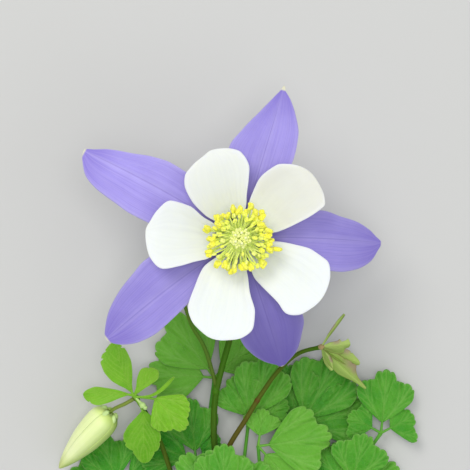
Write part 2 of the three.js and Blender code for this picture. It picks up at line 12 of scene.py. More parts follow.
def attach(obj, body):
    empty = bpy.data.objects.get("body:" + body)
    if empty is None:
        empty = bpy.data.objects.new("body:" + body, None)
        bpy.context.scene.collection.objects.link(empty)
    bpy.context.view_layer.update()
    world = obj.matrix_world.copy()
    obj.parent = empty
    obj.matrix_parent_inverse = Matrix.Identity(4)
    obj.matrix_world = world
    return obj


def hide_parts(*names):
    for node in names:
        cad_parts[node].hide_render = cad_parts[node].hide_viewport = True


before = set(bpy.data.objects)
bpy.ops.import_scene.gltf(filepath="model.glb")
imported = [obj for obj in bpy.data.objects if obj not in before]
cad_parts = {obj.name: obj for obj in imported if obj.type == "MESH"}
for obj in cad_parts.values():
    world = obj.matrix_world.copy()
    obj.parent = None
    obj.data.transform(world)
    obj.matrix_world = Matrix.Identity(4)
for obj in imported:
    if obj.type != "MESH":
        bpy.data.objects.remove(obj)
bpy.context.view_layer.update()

MM = 0.001
PLANT_AT = np.array([-0.9, 3.8, 0])  # the plant's own origin in the row's frame
BODY = "root"
SEED = 7
draw = np.random.default_rng(SEED)

# ---------------- the camera, the floor and the light

CAMERA_AT = np.array([0, 38, 496])  # in the plant's millimetres, straight above
VIEW_WIDTH = 125.5  # what the photograph's 470 pixels span at the bloom's petals
VIEW_DISTANCE = 450
FLOOR_SIDE = 6
FLOOR_COLOUR = (0.594, 0.594, 0.58, 1)
SKY_COLOUR = (0.95, 0.97, 1, 1)
SKY_STRENGTH = 0.47
LIGHTS = (
    dict(name="key", at=(-0.25, 0.4, 0.75), size=0.4, watts=2.95, colour=(1, 0.985, 0.95)),
    dict(name="fill", at=(0.5, -0.3, 0.6), size=0.8, watts=1.53, colour=(0.94, 0.97, 1)),
    dict(name="top", at=(0.03, 0.06, 0.95), size=0.35, watts=2.36, colour=(1, 1, 0.98)),
)
LIGHTS_AIM = (0, 0.03, 0.03)
LIT = 1.18  # how much brighter than its own colour a level surface looks under these lights


def placed(name, data, at=(0, 0, 0)):
    """A new object in the scene."""
    made = bpy.data.objects.new(name, data)
    made.location = at
    bpy.context.scene.collection.objects.link(made)
    return made


def build_camera():
    data = bpy.data.cameras.new("camera")
    data.sensor_width = 36
    data.lens = data.sensor_width * VIEW_DISTANCE / VIEW_WIDTH
    data.clip_start = 0.01
    bpy.context.scene.camera = placed("camera", data, (CAMERA_AT + PLANT_AT) * MM)


def build_light(name, at, size, watts, colour):
    data = bpy.data.lights.new(name, "AREA")
    data.size = size
    data.energy = watts
    data.color = colour
    light = placed(name, data, at)
    light.rotation_euler = (Vector(LIGHTS_AIM) - Vector(at)).to_track_quat("-Z", "Y").to_euler()
    light.visible_camera = False


def build_stage():
    bpy.ops.mesh.primitive_plane_add(size=FLOOR_SIDE, location=(0, 0, 0))
    floor = bpy.context.object
    floor.name = "floor"
    material = bpy.data.materials.new("floor_paper")
    material.use_nodes = True
    shader = material.node_tree.nodes["Principled BSDF"]
    shader.inputs["Base Color"].default_value = FLOOR_COLOUR
    shader.inputs["Roughness"].default_value = 0.9
    floor.data.materials.append(material)
    world = bpy.data.worlds.new("sky")
    world.use_nodes = True
    sky = world.node_tree.nodes["Background"]
    sky.inputs["Color"].default_value = SKY_COLOUR
    sky.inputs["Strength"].default_value = SKY_STRENGTH
    bpy.context.scene.world = world
    bpy.context.scene.view_settings.view_transform = "Standard"
    for light in LIGHTS:
        build_light(**light)


# ---------------- curves and profiles


def down(count):
    """Even places along a blade, 0 to 1, as a column."""
    return np.linspace(0, 1, count)[:, None]


def over(count):
    """Even places across a blade, from its right edge, -1, to its left, 1, as a row."""
    return np.linspace(-1, 1, count)[None, :]


def unit(vectors):
    return vectors / np.maximum(np.linalg.norm(vectors, axis=-1, keepdims=True), 1e-9)


def bell(x):
    """1 where x is 0, and falling off smoothly to either side."""
    return np.exp(-(x**2))


def shake(most):
    """A random number between -most and most."""
    return draw.uniform(-most, most)


def smooth(table, at):
    """A smooth line through a table of [place, value], which keeps between neighbouring values."""
    x, y = np.asarray(table, float).T
    step = np.diff(x)
    slope = np.diff(y) / step
    turn = slope[:-1] * slope[1:] > 0
    inner = np.where(turn, 2 * slope[:-1] * slope[1:] / np.where(turn, slope[:-1] + slope[1:], 1), 0)
    tangent = np.concatenate([[slope[0]], inner, [slope[-1]]])
    at = np.clip(at, x[0], x[-1])
    i = np.clip(np.searchsorted(x, at, side="right") - 1, 0, len(step) - 1)
    h = step[i]
    s = (at - x[i]) / h
    rise = (1 + 2 * s) * (1 - s) ** 2 * y[i] + s * s * (3 - 2 * s) * y[i + 1]
    return rise + s * (1 - s) ** 2 * h * tangent[i] - s * s * (1 - s) * h * tangent[i + 1]


def evenly(table, count):
    """That smooth line's values at even steps from 0 to 1."""
    return smooth(table, np.linspace(0, 1, count))


def round_end(t):
    """A place along a blade, stretched so that an even step keeps a round tip round."""
    return 1 - np.sqrt(1 - np.clip(t, 0, 1))


def blade_rows(start, count):
    return 1 - (1 - np.linspace(round_end(start), 1, count)[:, None]) ** 2


def half_width(t, u, left, right):
    """How far each edge of a blade lies from its midrib at t.

    An outline is a place along the blade in hundredths and the edge's millimetres there, in turns.
    """
    sides = []
    for outline in (left, right):
        places, widths = np.reshape(outline, (-1, 2)).T
        sides.append(smooth(np.stack([round_end(places / 100), widths], 1), round_end(t)))
    return np.where(u > 0, *sides)


def curve(points, count):
    """Points at even steps along the centripetal Catmull-Rom curve through the given ones."""
    p = np.asarray(points, float)
    p = np.vstack([2 * p[0] - p[1], p, 2 * p[-1] - p[-2]])
    t = np.linspace(0, 1, 24, endpoint=False)[:, None]
    runs = []
    for p0, p1, p2, p3 in zip(p, p[1:], p[2:], p[3:]):
        d0, d1, d2 = (np.linalg.norm(b - a) ** 0.5 for a, b in ((p0, p1), (p1, p2), (p2, p3)))
        m1 = d1 * ((p1 - p0) / d0 - (p2 - p0) / (d0 + d1) + (p2 - p1) / d1)
        m2 = d1 * ((p2 - p1) / d1 - (p3 - p1) / (d1 + d2) + (p3 - p2) / d2)
        runs.append(p1 + m1 * t + (3 * (p2 - p1) - 2 * m1 - m2) * t**2 + (2 * (p1 - p2) + m1 + m2) * t**3)
    dense = np.vstack([*runs, p[-2:-1]])
    length = np.concatenate([[0], np.cumsum(np.linalg.norm(np.diff(dense, axis=0), axis=1))])
    at = np.linspace(0, length[-1], count)
    return np.stack([np.interp(at, length, dense[:, k]) for k in range(3)], 1)


def frames_along(path):
    """Two directions square to a path at each of its points, which turn as little as they can."""
    tangent = unit(np.gradient(path, axis=0))
    first = np.cross(tangent[0], [0, 0, 1] if abs(tangent[0][2]) < 0.9 else [0, 1, 0])
    sides = [unit(first)]
    for t in tangent[1:]:
        sides.append(unit(sides[-1] - t * np.dot(sides[-1], t)))
    side = np.array(sides)
    return side, np.cross(tangent, side)


# ---------------- surfaces


def grid_quads(rows, columns, wrap=False):
    i, j = np.meshgrid(np.arange(rows - 1), np.arange(columns if wrap else columns - 1), indexing="ij")
    k = (j + 1) % columns
    a, b, c, d = i * columns + j, (i + 1) * columns + j, (i + 1) * columns + k, i * columns + k
    return np.stack([a, b, c, d], -1).reshape(-1, 4)


def normals_of(grid):
    return unit(np.cross(np.gradient(grid, axis=0), np.gradient(grid, axis=1)))


def walls_between(rim, after, count):
    """The faces that join a rim's points, each with the one after it, to their doubles on the other side."""
    return np.stack([rim, rim + count, after + count, after], 1)


class Gather:
    """Collects closed surfaces, in the plant's millimetres, into the mesh of one piece.

    Each point carries values that the materials read: along and across, its place on its blade or tube;
    tone, one number for each blade; mark, such as how strongly a vein shows there, and on sepals and
    petals their painted shade; rim, at a blade's edge, where petals get a painted highlight; under, on a
    blade's lower face; and part, on a leaf's stalks, a sepal's cream point and the painted shade on the
    side of a bud that is away from the light.
    """

    VALUES = ("along", "across", "tone", "mark", "rim", "under", "part")

    def __init__(self):
        self.points, self.faces, self.values, self.count = [], [], [], 0

    def add(self, points, faces, **values):
        self.faces.extend(np.asarray(f) + self.count for f in faces)
        self.points.append(points)
        given = (np.reshape(values.get(kind, 0), -1) for kind in self.VALUES)
        self.values.append(np.stack([np.broadcast_to(value, (len(points),)) for value in given], 1))
        self.count += len(points)

    def sheet(self, grid, thickness, **values):
        """A thin blade round its middle surface, with a rim."""
        rows, columns = shape = grid.shape[:2]
        half = normals_of(grid) * np.broadcast_to(thickness, shape)[..., None] / 2
        count = rows * columns
        at = np.arange(count).reshape(shape)
        rim = np.concatenate([at[:-1, 0], at[-1, :-1], at[:0:-1, -1], at[0, :0:-1]])
        quads = grid_quads(rows, columns)
        both = {k: np.tile(np.broadcast_to(v, shape).reshape(-1), 2) for k, v in values.items()}
        both["under"] = np.repeat([0, 1], count)
        points = np.concatenate([(grid + half).reshape(-1, 3), (grid - half).reshape(-1, 3)])
        self.add(points, [quads, quads[:, ::-1] + count, walls_between(rim, np.roll(rim, -1), count)], **both)

    def tube(self, path, radius, sides=12, ribs=0, rib_depth=0, **values):
        """A round stalk along a path, with domed ends. radius is one number or one for each point."""
        side, up = frames_along(path)
        turn = np.linspace(0, 2 * np.pi, sides, endpoint=False)
        swell = 1 + rib_depth * np.cos(ribs * turn)
        ring = (np.cos(turn) * swell)[:, None] * side[:, None] + (np.sin(turn) * swell)[:, None] * up[:, None]
        body = path[:, None] + np.broadcast_to(radius, (len(path),))[:, None, None] * ring
        self.rings(body, path[[0, -1]], **values)

    def rings(self, body, ends, **values):
        """A closed skin over a stack of rings and the point at each of its ends."""
        count, sides = body.shape[:2]
        j = np.arange(sides)
        k = (j + 1) % sides
        start, last = count * sides, (count - 1) * sides
        caps = [
            np.stack([np.full(sides, start), k, j], 1),
            np.stack([np.full(sides, start + 1), last + j, last + k], 1),
        ]
        values.setdefault("along", np.append(np.repeat(np.linspace(0, 1, count), sides), [0, 1]))
        values.setdefault("across", np.append(np.tile(np.abs(2 * j / sides - 1), count), [0, 0]))
        points = np.concatenate([body.reshape(-1, 3), ends])
        self.add(points, [grid_quads(count, sides, wrap=True)[:, ::-1], *caps], **values)

    def piece(self, name, material, slot, *nodes):
        """Makes the object, which rides on the plant's body and stands for its CAD nodes."""
        mesh = bpy.data.meshes.new(name)
        points = (np.concatenate(self.points) + PLANT_AT) * MM
        mesh.from_pydata(points.tolist(), [], [face for block in self.faces for face in block.tolist()])
        for kind, values in zip(self.VALUES, np.concatenate(self.values).T):
            mesh.attributes.new(kind, "FLOAT", "POINT").data.foreach_set("value", values.astype(np.float32))
        mesh.shade_smooth()
        mesh.validate()
        mesh.materials.append(material)
        piece = placed(name, mesh)
        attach(piece, BODY)
        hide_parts(*nodes)


# ---------------- materials


class Paint:
    """A procedural material: a Principled shader, and the colour that is laid on for it coat by coat.

    A colour is three screen values up to 255, as a level surface should look under lights that brighten
    it by the factor lit. An input is a number, a socket, or the name of one of the points' values.
    """

    def __init__(self, name, roughness, specular, subsurface=0, sheen=0, lit=LIT):
        self.material = bpy.data.materials.new(name)
        self.material.use_nodes = True
        self.tree = self.material.node_tree
        self.lit = lit
        self.colour = None
        self.shader = self.tree.nodes["Principled BSDF"]
        for socket, value in {
            "Roughness": roughness, "Specular IOR Level": specular, "Subsurface Weight": subsurface,
            "Subsurface Radius": (0.6, 0.6, 0.4), "Subsurface Scale": MM, "Sheen Weight": sheen,
        }.items():
            self.shader.inputs[socket].default_value = value

    def put(self, socket, value):
        if isinstance(value, str):
            value = self.node("Attribute", "Fac", {}, attribute_name=value)
        if isinstance(value, bpy.types.NodeSocket):
            self.tree.links.new(value, socket)
        else:
            socket.default_value = value

    def node(self, kind, output, inputs, **settings):
        """One output of a new node."""
        made = self.tree.nodes.new("ShaderNode" + kind)
        for key, value in settings.items():
            setattr(made, key, value)
        for key, value in inputs.items():
            self.put(made.inputs[key], value)
        return made.outputs[output]

    def math(self, operation, a, b=0):
        return self.node("Math", 0, {0: a, 1: b}, operation=operation)

    def times(self, a, b):
        return self.math("MULTIPLY", a, b)

    def stretch(self, value, low, high, to_low=0, to_high=1):
        return self.node("MapRange", "Result", dict(enumerate((value, low, high, to_low, to_high))))

    def place(self):
        return self.node("TexCoord", "Object", {})

    def noise(self, scale, detail=2, vector=None):
        vector = self.place() if vector is None else vector
        return self.node("TexNoise", "Fac", {"Vector": vector, "Scale": scale, "Detail": detail})

    def lengthwise(self, across, along, detail=2):
        """Noise drawn out along a blade, as its veins are, and different on each blade."""
        scaled = self.times("across", across), self.times("along", along), self.times("tone", 17)
        return self.noise(1, detail, self.node("CombineXYZ", 0, dict(enumerate(scaled))))

    def veins(self, across, along, low, high):
        return self.stretch(self.lengthwise(across, along), low, high)

    def tint(self, colour):
        """A colour as the shader's linear one; a socket stays as it is."""
        if isinstance(colour, bpy.types.NodeSocket):
            return colour
        linear = (c / 255 / 12.92 if c <= 10 else ((c / 255 + 0.055) / 1.055) ** 2.4 for c in colour)
        return (*(c / self.lit for c in linear), 1)

    def mix(self, amount, first, second):
        inputs = {"Factor": amount, 6: self.tint(first), 7: self.tint(second)}
        return self.node("Mix", 2, inputs, data_type="RGBA", blend_type="MIX")

    def ramp(self, value, *stops):
        """The first coat, from stops of (place, colour)."""
        self.colour = self.node("ValToRGB", "Color", {"Fac": value})
        band = self.colour.node.color_ramp
        band.interpolation = "EASE"
        while len(band.elements) < len(stops):
            band.elements.new(0.5)
        for element, (at, colour) in zip(band.elements, stops):
            element.position = at
            element.color = self.tint(colour)

    def coat(self, amount, colour, strength=None):
        """One more coat, as thick as an amount times a strength."""
        self.colour = self.mix(self.times(amount, strength) if strength else amount, self.colour, colour)

    def finish(self, height, distance, strength):
        """The material, with its colour and a relief."""
        self.put(self.shader.inputs["Base Color"], self.colour)
        relief = self.node("Bump", "Normal", {"Height": height, "Distance": distance, "Strength": strength})
        self.put(self.shader.inputs["Normal"], relief)
        return self.material


def sepal_paint():
    """Lavender tissue with fine lengthwise veins, a pale edge and a cream point; mark lays on grey-violet
    painted shade, partly the sepal's own deeper violet.
    """
    paint = Paint("sepal_tissue", roughness=0.55, specular=0.3, subsurface=0.15, sheen=0.12)
    aside = paint.math("ABSOLUTE", "across")
    paint.ramp(
        "along", (0, (188, 188, 222)), (0.14, (138, 122, 202)), (0.4, (175, 162, 240)),
        (0.75, (178, 165, 247)), (0.97, (152, 136, 228)))
    paint.coat(paint.veins(16, 1.6, 0.42, 0.62), (196, 184, 250), 0.3)
    paint.coat(paint.veins(42, 2.2, 0.5, 0.64), (128, 112, 206), 0.25)
    paint.coat(paint.stretch(aside, 0.02, 0.2, 0.35, 0), (206, 196, 254))
    paint.coat(paint.stretch(aside, 0, 0.035, 0.55, 0), (132, 116, 208))
    paint.coat(paint.stretch(paint.noise(140, 3), 0.35, 0.7), (132, 116, 210), 0.2)
    # painted shade: mark, from a sepal's shade, greys and darkens it, most towards its point; partly the
    # sepal's own deeper violet
    paint.coat("mark", (102, 88, 172))
    paint.coat("rim", (206, 198, 250), 0.35)
    paint.coat("part", (238, 236, 206))
    return paint.finish(paint.lengthwise(26, 1.2), 0.00012, 0.5)


def petal_paint():
    """White tissue with a painted highlight along its edge, tinged green round the spur's mouth and lavender
    down the spur; mark lays a cream-grey on the blade, partly its own cream and partly painted shade.
    """
    paint = Paint("petal_tissue", roughness=0.5, specular=0.3, subsurface=0.4, sheen=0.1)
    paint.ramp(
        "along", (0, (120, 150, 96)), (0.04, (176, 166, 220)), (0.36, (206, 202, 236)),
        (0.46, (247, 251, 240)), (0.56, (251, 254, 249)), (0.68, (248, 253, 251)), (1, (250, 255, 255)))
    paint.coat(paint.veins(11, 1.4, 0.4, 0.64), (222, 226, 232), 0.1)
    cloudy = paint.stretch(paint.noise(90), 0.35, 0.7, 0.7, 1)
    # partly painted shade: mark, from a petal's shade, lays a clouded cream-grey on the blade past its
    # throat, partly the petal's own cream
    paint.coat(paint.times(paint.times("mark", cloudy), paint.stretch("along", 0.5, 0.62)), (230, 228, 214))
    # painted highlight: a brighter white along the rim of the blade
    paint.coat("rim", (252, 254, 255), 0.8)
    return paint.finish(paint.lengthwise(20, 1.2), 0.0001, 0.3)


def anther_paint():
    """Pollen sacs, from the young green ones within to the ripe lemon ones outside."""
    paint = Paint("anther_pollen", roughness=0.75, specular=0.2, subsurface=0.45, sheen=0.2, lit=1)
    paint.ramp("tone", (0, (244, 255, 156)), (0.4, (242, 255, 88)), (1, (255, 248, 64)))
    grains = paint.noise(2600)
    paint.coat(paint.stretch(grains, 0.45, 0.62, 0, 0.5), (254, 250, 140))
    return paint.finish(grains, 0.0001, 0.6)


def filament_paint():
    paint = Paint("filament_tissue", roughness=0.5, specular=0.3, subsurface=0.4, lit=1)
    paint.ramp("along", (0, (226, 250, 150)), (0.5, (240, 255, 160)), (1, (236, 255, 112)))
    paint.coat(paint.noise(900), (250, 255, 210), 0.2)
    return paint.finish(paint.lengthwise(24, 1), 0.0002, 0.8)


def pistil_paint():
    paint = Paint("pistil_tissue", roughness=0.5, specular=0.3, subsurface=0.4, lit=1)
    paint.ramp("along", (0, (206, 232, 150)), (0.4, (236, 250, 170)), (1, (252, 255, 196)))
    paint.coat(paint.noise(1200), (206, 232, 130), 0.25)
    return paint.finish(paint.noise(2400), 0.00006, 0.6)


def leaf_paint(name, deep, bright, vein_colour, under_colour):
    """Leaf tissue: paler below, with lighter veins, a fine net between them and a thin light edge."""
    paint = Paint(name, roughness=0.5, specular=0.2, subsurface=0.1, sheen=0.03)
    patches = paint.stretch(paint.noise(150, 3), 0.3, 0.7, -0.22, 0.22)
    tone = paint.node("Clamp", 0, {"Value": paint.math("ADD", "tone", patches)})
    paint.colour = paint.mix(tone, deep, bright)
    net = paint.node(
        "TexVoronoi", "Distance", {"Vector": paint.place(), "Scale": 900}, feature="DISTANCE_TO_EDGE")
    blade = paint.stretch("part", 1, 0)
    paint.coat(paint.times(paint.stretch(net, 0, 0.09, 0.14, 0), blade), vein_colour)
    paint.coat("mark", vein_colour, 0.38)
    paint.coat("rim", vein_colour, 0.45)
    paint.coat("under", under_colour, 0.75)
    height = paint.math("SUBTRACT", paint.stretch(net, 0, 0.12), "mark")
    ribs = paint.times(paint.lengthwise(9, 3), "part")
    return paint.finish(paint.math("ADD", paint.times(height, blade), ribs), 0.00012, 0.5)


def bract_paint():
    """Yellow-green bract tissue that flushes pink on the raised side of its fold, past its middle, with
    painted shade, a deeper green, on the other side of its fold.
    """
    paint = Paint("bract_tissue", roughness=0.55, specular=0.3, subsurface=0.1)
    paint.colour = paint.mix("tone", (146, 184, 66), (202, 232, 124))
    paint.coat(paint.veins(9, 2, 0.4, 0.64), (192, 214, 120), 0.35)
    paint.coat("mark", (208, 212, 140), 0.3)
    # painted shade: the half of each blade on the far side of its fold is darkened to a deeper green
    paint.coat(paint.stretch("across", 0, -0.6, 0, 0.55), (104, 142, 38))
    past_middle, spent = paint.stretch("along", 0.3, 0.5), paint.stretch("along", 0.72, 0.62)
    flush = paint.times(paint.times(paint.stretch("across", 0.15, 0.75), past_middle), spent)
    paint.coat(flush, (188, 160, 140), 0.8)
    paint.coat("rim", (140, 96, 70), 0.4)
    return paint.finish(paint.lengthwise(12, 2), 0.00015, 0.5)


def stem_paint():
    """A stalk, streaked and blushed in patches; its tone lightens or withers it, and its mark reddens it."""
    paint = Paint("stem_skin", roughness=0.6, specular=0.15, subsurface=0.05)
    streaks = paint.lengthwise(7, 9, 3)
    paint.ramp("along", (0, (56, 88, 6)), (0.55, (68, 126, 10)), (1, (68, 126, 10)))
    paint.coat(paint.stretch(streaks, 0.42, 0.66, 0, 0.4), (92, 130, 30))
    paint.coat(paint.stretch(paint.noise(70, 3), 0.52, 0.68, 0, 0.5), (92, 74, 24))
    paint.coat("tone", (150, 178, 78))
    paint.coat(paint.stretch("tone", 1, 2), (196, 170, 118))
    paint.coat("mark", (112, 54, 30))
    return paint.finish(streaks, 0.00015, 0.5)


def bud_paint():
    """Bud tissue: pale, and greener at its seams, foot and spurs, with painted shade, an olive green, on the
    side away from the light.
    """
    paint = Paint("bud_tissue", roughness=0.5, specular=0.3, subsurface=0.2, sheen=0.1, lit=1)
    paint.ramp(
        "along", (0, (214, 238, 132)), (0.14, (240, 255, 182)), (0.7, (244, 255, 192)), (1, (204, 216, 132)))
    paint.coat(paint.veins(9, 2, 0.42, 0.64), (204, 232, 120), 0.15)
    paint.coat(paint.stretch(paint.math("ABSOLUTE", "across"), 0.8, 1, 0, 0.3), (190, 220, 112))
    # painted shade: part darkens the side of the bud away from the light to olive green
    paint.coat(paint.stretch("part", 0, 0.9, 0, 0.8), (152, 184, 70))
    paint.coat("mark", (160, 206, 112), 0.7)
    return paint.finish(paint.lengthwise(14, 1.5), 0.0001, 0.5)


def crown_paint():
    """Fibrous brown bark, and the pale wood of a cut root."""
    paint = Paint("crown_bark", roughness=0.85, specular=0.2)
    fibres = paint.lengthwise(14, 3, 4)
    paint.ramp(fibres, (0.3, (58, 42, 28)), (0.5, (104, 80, 54)), (0.7, (150, 122, 86)))
    paint.coat(paint.stretch(paint.noise(300, 3), 0.45, 0.7, 0, 0.6), (74, 50, 34))
    paint.coat("mark", paint.mix(paint.noise(900), (222, 212, 170), (178, 158, 112)))
    return paint.finish(fibres, 0.0004, 0.8)


def scale_paint():
    """The dry brown tissue of old leaf bases, paler at the tips."""
    paint = Paint("scale_tissue", roughness=0.75, specular=0.25, subsurface=0.05)
    streaks = paint.lengthwise(10, 2, 3)
    paint.ramp(streaks, (0.3, (84, 56, 38)), (0.55, (134, 100, 68)), (0.75, (178, 148, 108)))
    paint.coat(paint.stretch("along", 0.6, 1, 0, 0.5), (190, 166, 126))
    return paint.finish(streaks, 0.0002, 0.7)


# ---------------- the open bloom

BLOOM = np.array([1.3, 37.2])


def around_bloom(angle, out, left, z):
    """A point by its heading in degrees, distance out, offset to the left, and height."""
    c, s = np.cos(np.radians(angle)), np.sin(np.radians(angle))
    return np.stack(np.broadcast_arrays(BLOOM[0] + out * c - left * s, BLOOM[1] + out * s + left * c, z), -1)


SEPAL_BASE_Z = 42.6
SEPAL_THICKNESS = 0.4
SEPAL_CLAW = (4, 0.7, 16, 0.85)
SEPAL_TIP = (100, 0.12)
SEPAL_ARCH, SEPAL_EDGE_LIFT, SEPAL_KEEL, SEPAL_FOLD, SEPAL_WAVE = 2.6, 1.6, 0.4, 0.05, 0.4
# shade is how much painted shade a sepal gets, partly its own deeper violet
SEPALS = {
    "sepal_top": dict(
        claw=74, angle=73.7, reach=42.8, tip_z=40, shade=0.12, cream=0.967,
        left=(23, 3.2, 32, 6.4, 43, 9, 53, 9.5, 65, 7.6, 81, 4.1, 92, 1.7, 97.5, 0.5),
        right=(23, 2.8, 32, 5.6, 45, 7.3, 59, 7.9, 72, 7.4, 84, 5.2, 93, 2.6, 97.5, 0.7)),
    "sepal_upper_left": dict(
        claw=146, angle=150.6, reach=48, tip_z=44, cream=0.986,
        left=(23, 3.2, 32, 6.6, 48, 9.4, 59, 9.6, 70, 9, 81, 8.2, 91, 6.4, 97.5, 3),
        right=(23, 2.8, 32, 5.6, 44, 7.3, 54, 7.5, 65, 6.6, 75, 5, 87, 3.3, 96, 1.2)),
    "sepal_lower_left": dict(
        claw=218, angle=217.2, reach=45.6, tip_z=37, bow=-1, shade=0.14, cream=0.987,
        left=(23, 2.5, 31, 4.7, 49, 6.5, 59, 7.1, 72, 7.5, 84, 6.5, 94, 4, 98.3, 2),
        right=(23, 3.6, 31, 7.1, 44, 9.6, 52, 9.8, 63, 8.9, 74, 7.9, 87, 5.7, 97, 2.3)),
    "sepal_lower_right": dict(
        claw=290, angle=288.3, reach=37.3, tip_z=30, shade=0.6,
        left=(23, 3, 32, 6.3, 46, 8.6, 60, 9.4, 69, 9.4, 82, 7.5, 92, 5.1, 98, 1.9),
        right=(23, 3, 32, 6.2, 46, 8.2, 60, 8.9, 72, 8.6, 83, 7, 92, 4.4, 98, 1.3)),
    "sepal_right": dict(
        claw=2, angle=-2, reach=39.1, tip_z=30, shade=0.22,
        left=(23, 3, 32, 5.9, 45, 7.6, 57, 7.5, 70, 6.2, 81, 5.2, 90, 3.5, 97, 1.3),
        right=(23, 3, 32, 6, 46, 7.9, 58, 8.5, 70, 8.8, 81, 8, 93, 5.2, 98, 2)),
}


def sepal(claw, angle, reach, tip_z, left, right, bow=0, shade=0, cream=0.992):
    """A sepal that arches from its claw, keeled, finely folded and waved at its edges, with a cream point."""
    t, u = blade_rows(0.04, 96), over(37)
    arch = np.sin(np.pi * t) ** 2
    half = half_width(t, u, (*SEPAL_CLAW, *left, *SEPAL_TIP), (*SEPAL_CLAW, *right, *SEPAL_TIP))
    z = SEPAL_BASE_Z + SEPAL_ARCH * arch - (SEPAL_BASE_Z - tip_z) * t * t + SEPAL_EDGE_LIFT * arch * u * u
    z = z - SEPAL_KEEL * arch * bell(u / 0.07)
    z = z + SEPAL_FOLD * arch * np.cos(28 * u) * (1 - u * u)
    z = z + SEPAL_WAVE * arch * np.abs(u) ** 3 * np.sin(9 * t + 2.1 * np.sign(u) + claw)
    grid = around_bloom(claw + (angle - claw) * t, reach * t, u * half + bow * np.sin(np.pi * t), z)
    made = Gather()
    # mark carries shade as painted shade, stronger towards the point
    made.sheet(
        grid, SEPAL_THICKNESS * (0.4 + 0.6 * (1 - u**6)), along=t, across=u, tone=claw / 360,
        mark=shade * (0.6 + 0.8 * t), rim=np.abs(u) ** 12, part=np.clip((t - cream) / 0.01, 0, 1))
    return made


PETAL_MOUTH_Z = 45.2
PETAL_RISE, PETAL_CUP, PETAL_LAP, PETAL_GROOVE = 6.5, 1.2, 0.45, 0.5
PETAL_WAVE, PETAL_FOLD, PETAL_TIP_DROP = 0.16, 0.03, 0.9
PETAL_THICKNESS = 0.4
PETAL_TIP = (100, 0.15)
# shade is how much cream-grey a petal gets, partly its own cream and partly painted shade
PETALS = {
    "petal_upper_left": dict(
        claw=110, angle=108, reach=24.4, shade=0.3,
        left=(15, 2.6, 25, 4.9, 38, 7, 55, 8.9, 70, 9.5, 82, 8.7, 91, 5.8, 97.5, 2),
        right=(15, 2.5, 25, 4.2, 38, 5.1, 57, 7.2, 72, 8.4, 87, 7.5, 96, 4.6, 99, 2.2)),
    "petal_upper_right": dict(
        claw=38, angle=41, reach=25.5, shade=0.7,
        left=(15, 2.6, 25, 4.9, 33, 6.3, 60, 9, 77, 8.5, 88, 6.5, 97, 3.3),
        right=(15, 2.5, 25, 4.1, 33, 4.9, 50, 6.3, 75, 7.8, 87, 8.1, 95, 5.9, 99, 2.4)),
    "petal_lower_right": dict(
        claw=-34, angle=-37, reach=26.9,
        left=(15, 2.5, 28, 4.4, 46, 6.8, 65, 8.7, 81, 8.9, 93, 6.4, 98.5, 3),
        right=(15, 2.9, 28, 6.1, 48, 7.2, 67, 7.9, 79, 8.8, 91, 7.1, 98, 3.2)),
    "petal_bottom": dict(
        claw=-106, angle=-104, reach=27.6,
        left=(15, 2.5, 25, 4, 33, 4.7, 48, 6.3, 65, 8.8, 79, 9.3, 92, 7, 98, 3.2),
        right=(15, 2.7, 25, 5.6, 40, 7.6, 54, 8.2, 74, 8.8, 87, 7.2, 96, 3.8)),
    "petal_left": dict(
        claw=182, angle=176, reach=25, shade=0.12,
        left=(15, 2.7, 25, 4.6, 34, 5.5, 47, 6.4, 63, 7.9, 80, 9.1, 93, 6.8, 98.5, 3.2),
        right=(15, 2.5, 25, 4, 37, 5.2, 54, 8.2, 74, 9.1, 89, 6, 96.5, 2.6)),
}
SPUR_PATH = [(5.5, 45.2), (5.9, 40), (7.2, 30), (9, 18), (11, 8), (12.7, 2.2), (13, 0.9)]
SPUR_PROFILE = [
    (0, 2.35), (0.13, 1.85), (0.35, 1.4), (0.6, 1.05), (0.85, 0.75), (0.92, 0.8), (0.965, 1.05), (0.99, 0.85),
    (1, 0.5),
]
LUMEN_LEAST, LUMEN_MOST, LUMEN_DEPTH = 0.25, 0.915, 4  # the spur's hollow, as a share of its radius
LIP_RISE, LIP_RADIUS, LIP_FLARE = np.array([0, 0, 1.3]), 2.35, 0.9
SPUR_ROWS, FUNNEL_ROWS, BLADE_ROWS = 54, 14, 50
PETAL_COLUMNS = 41


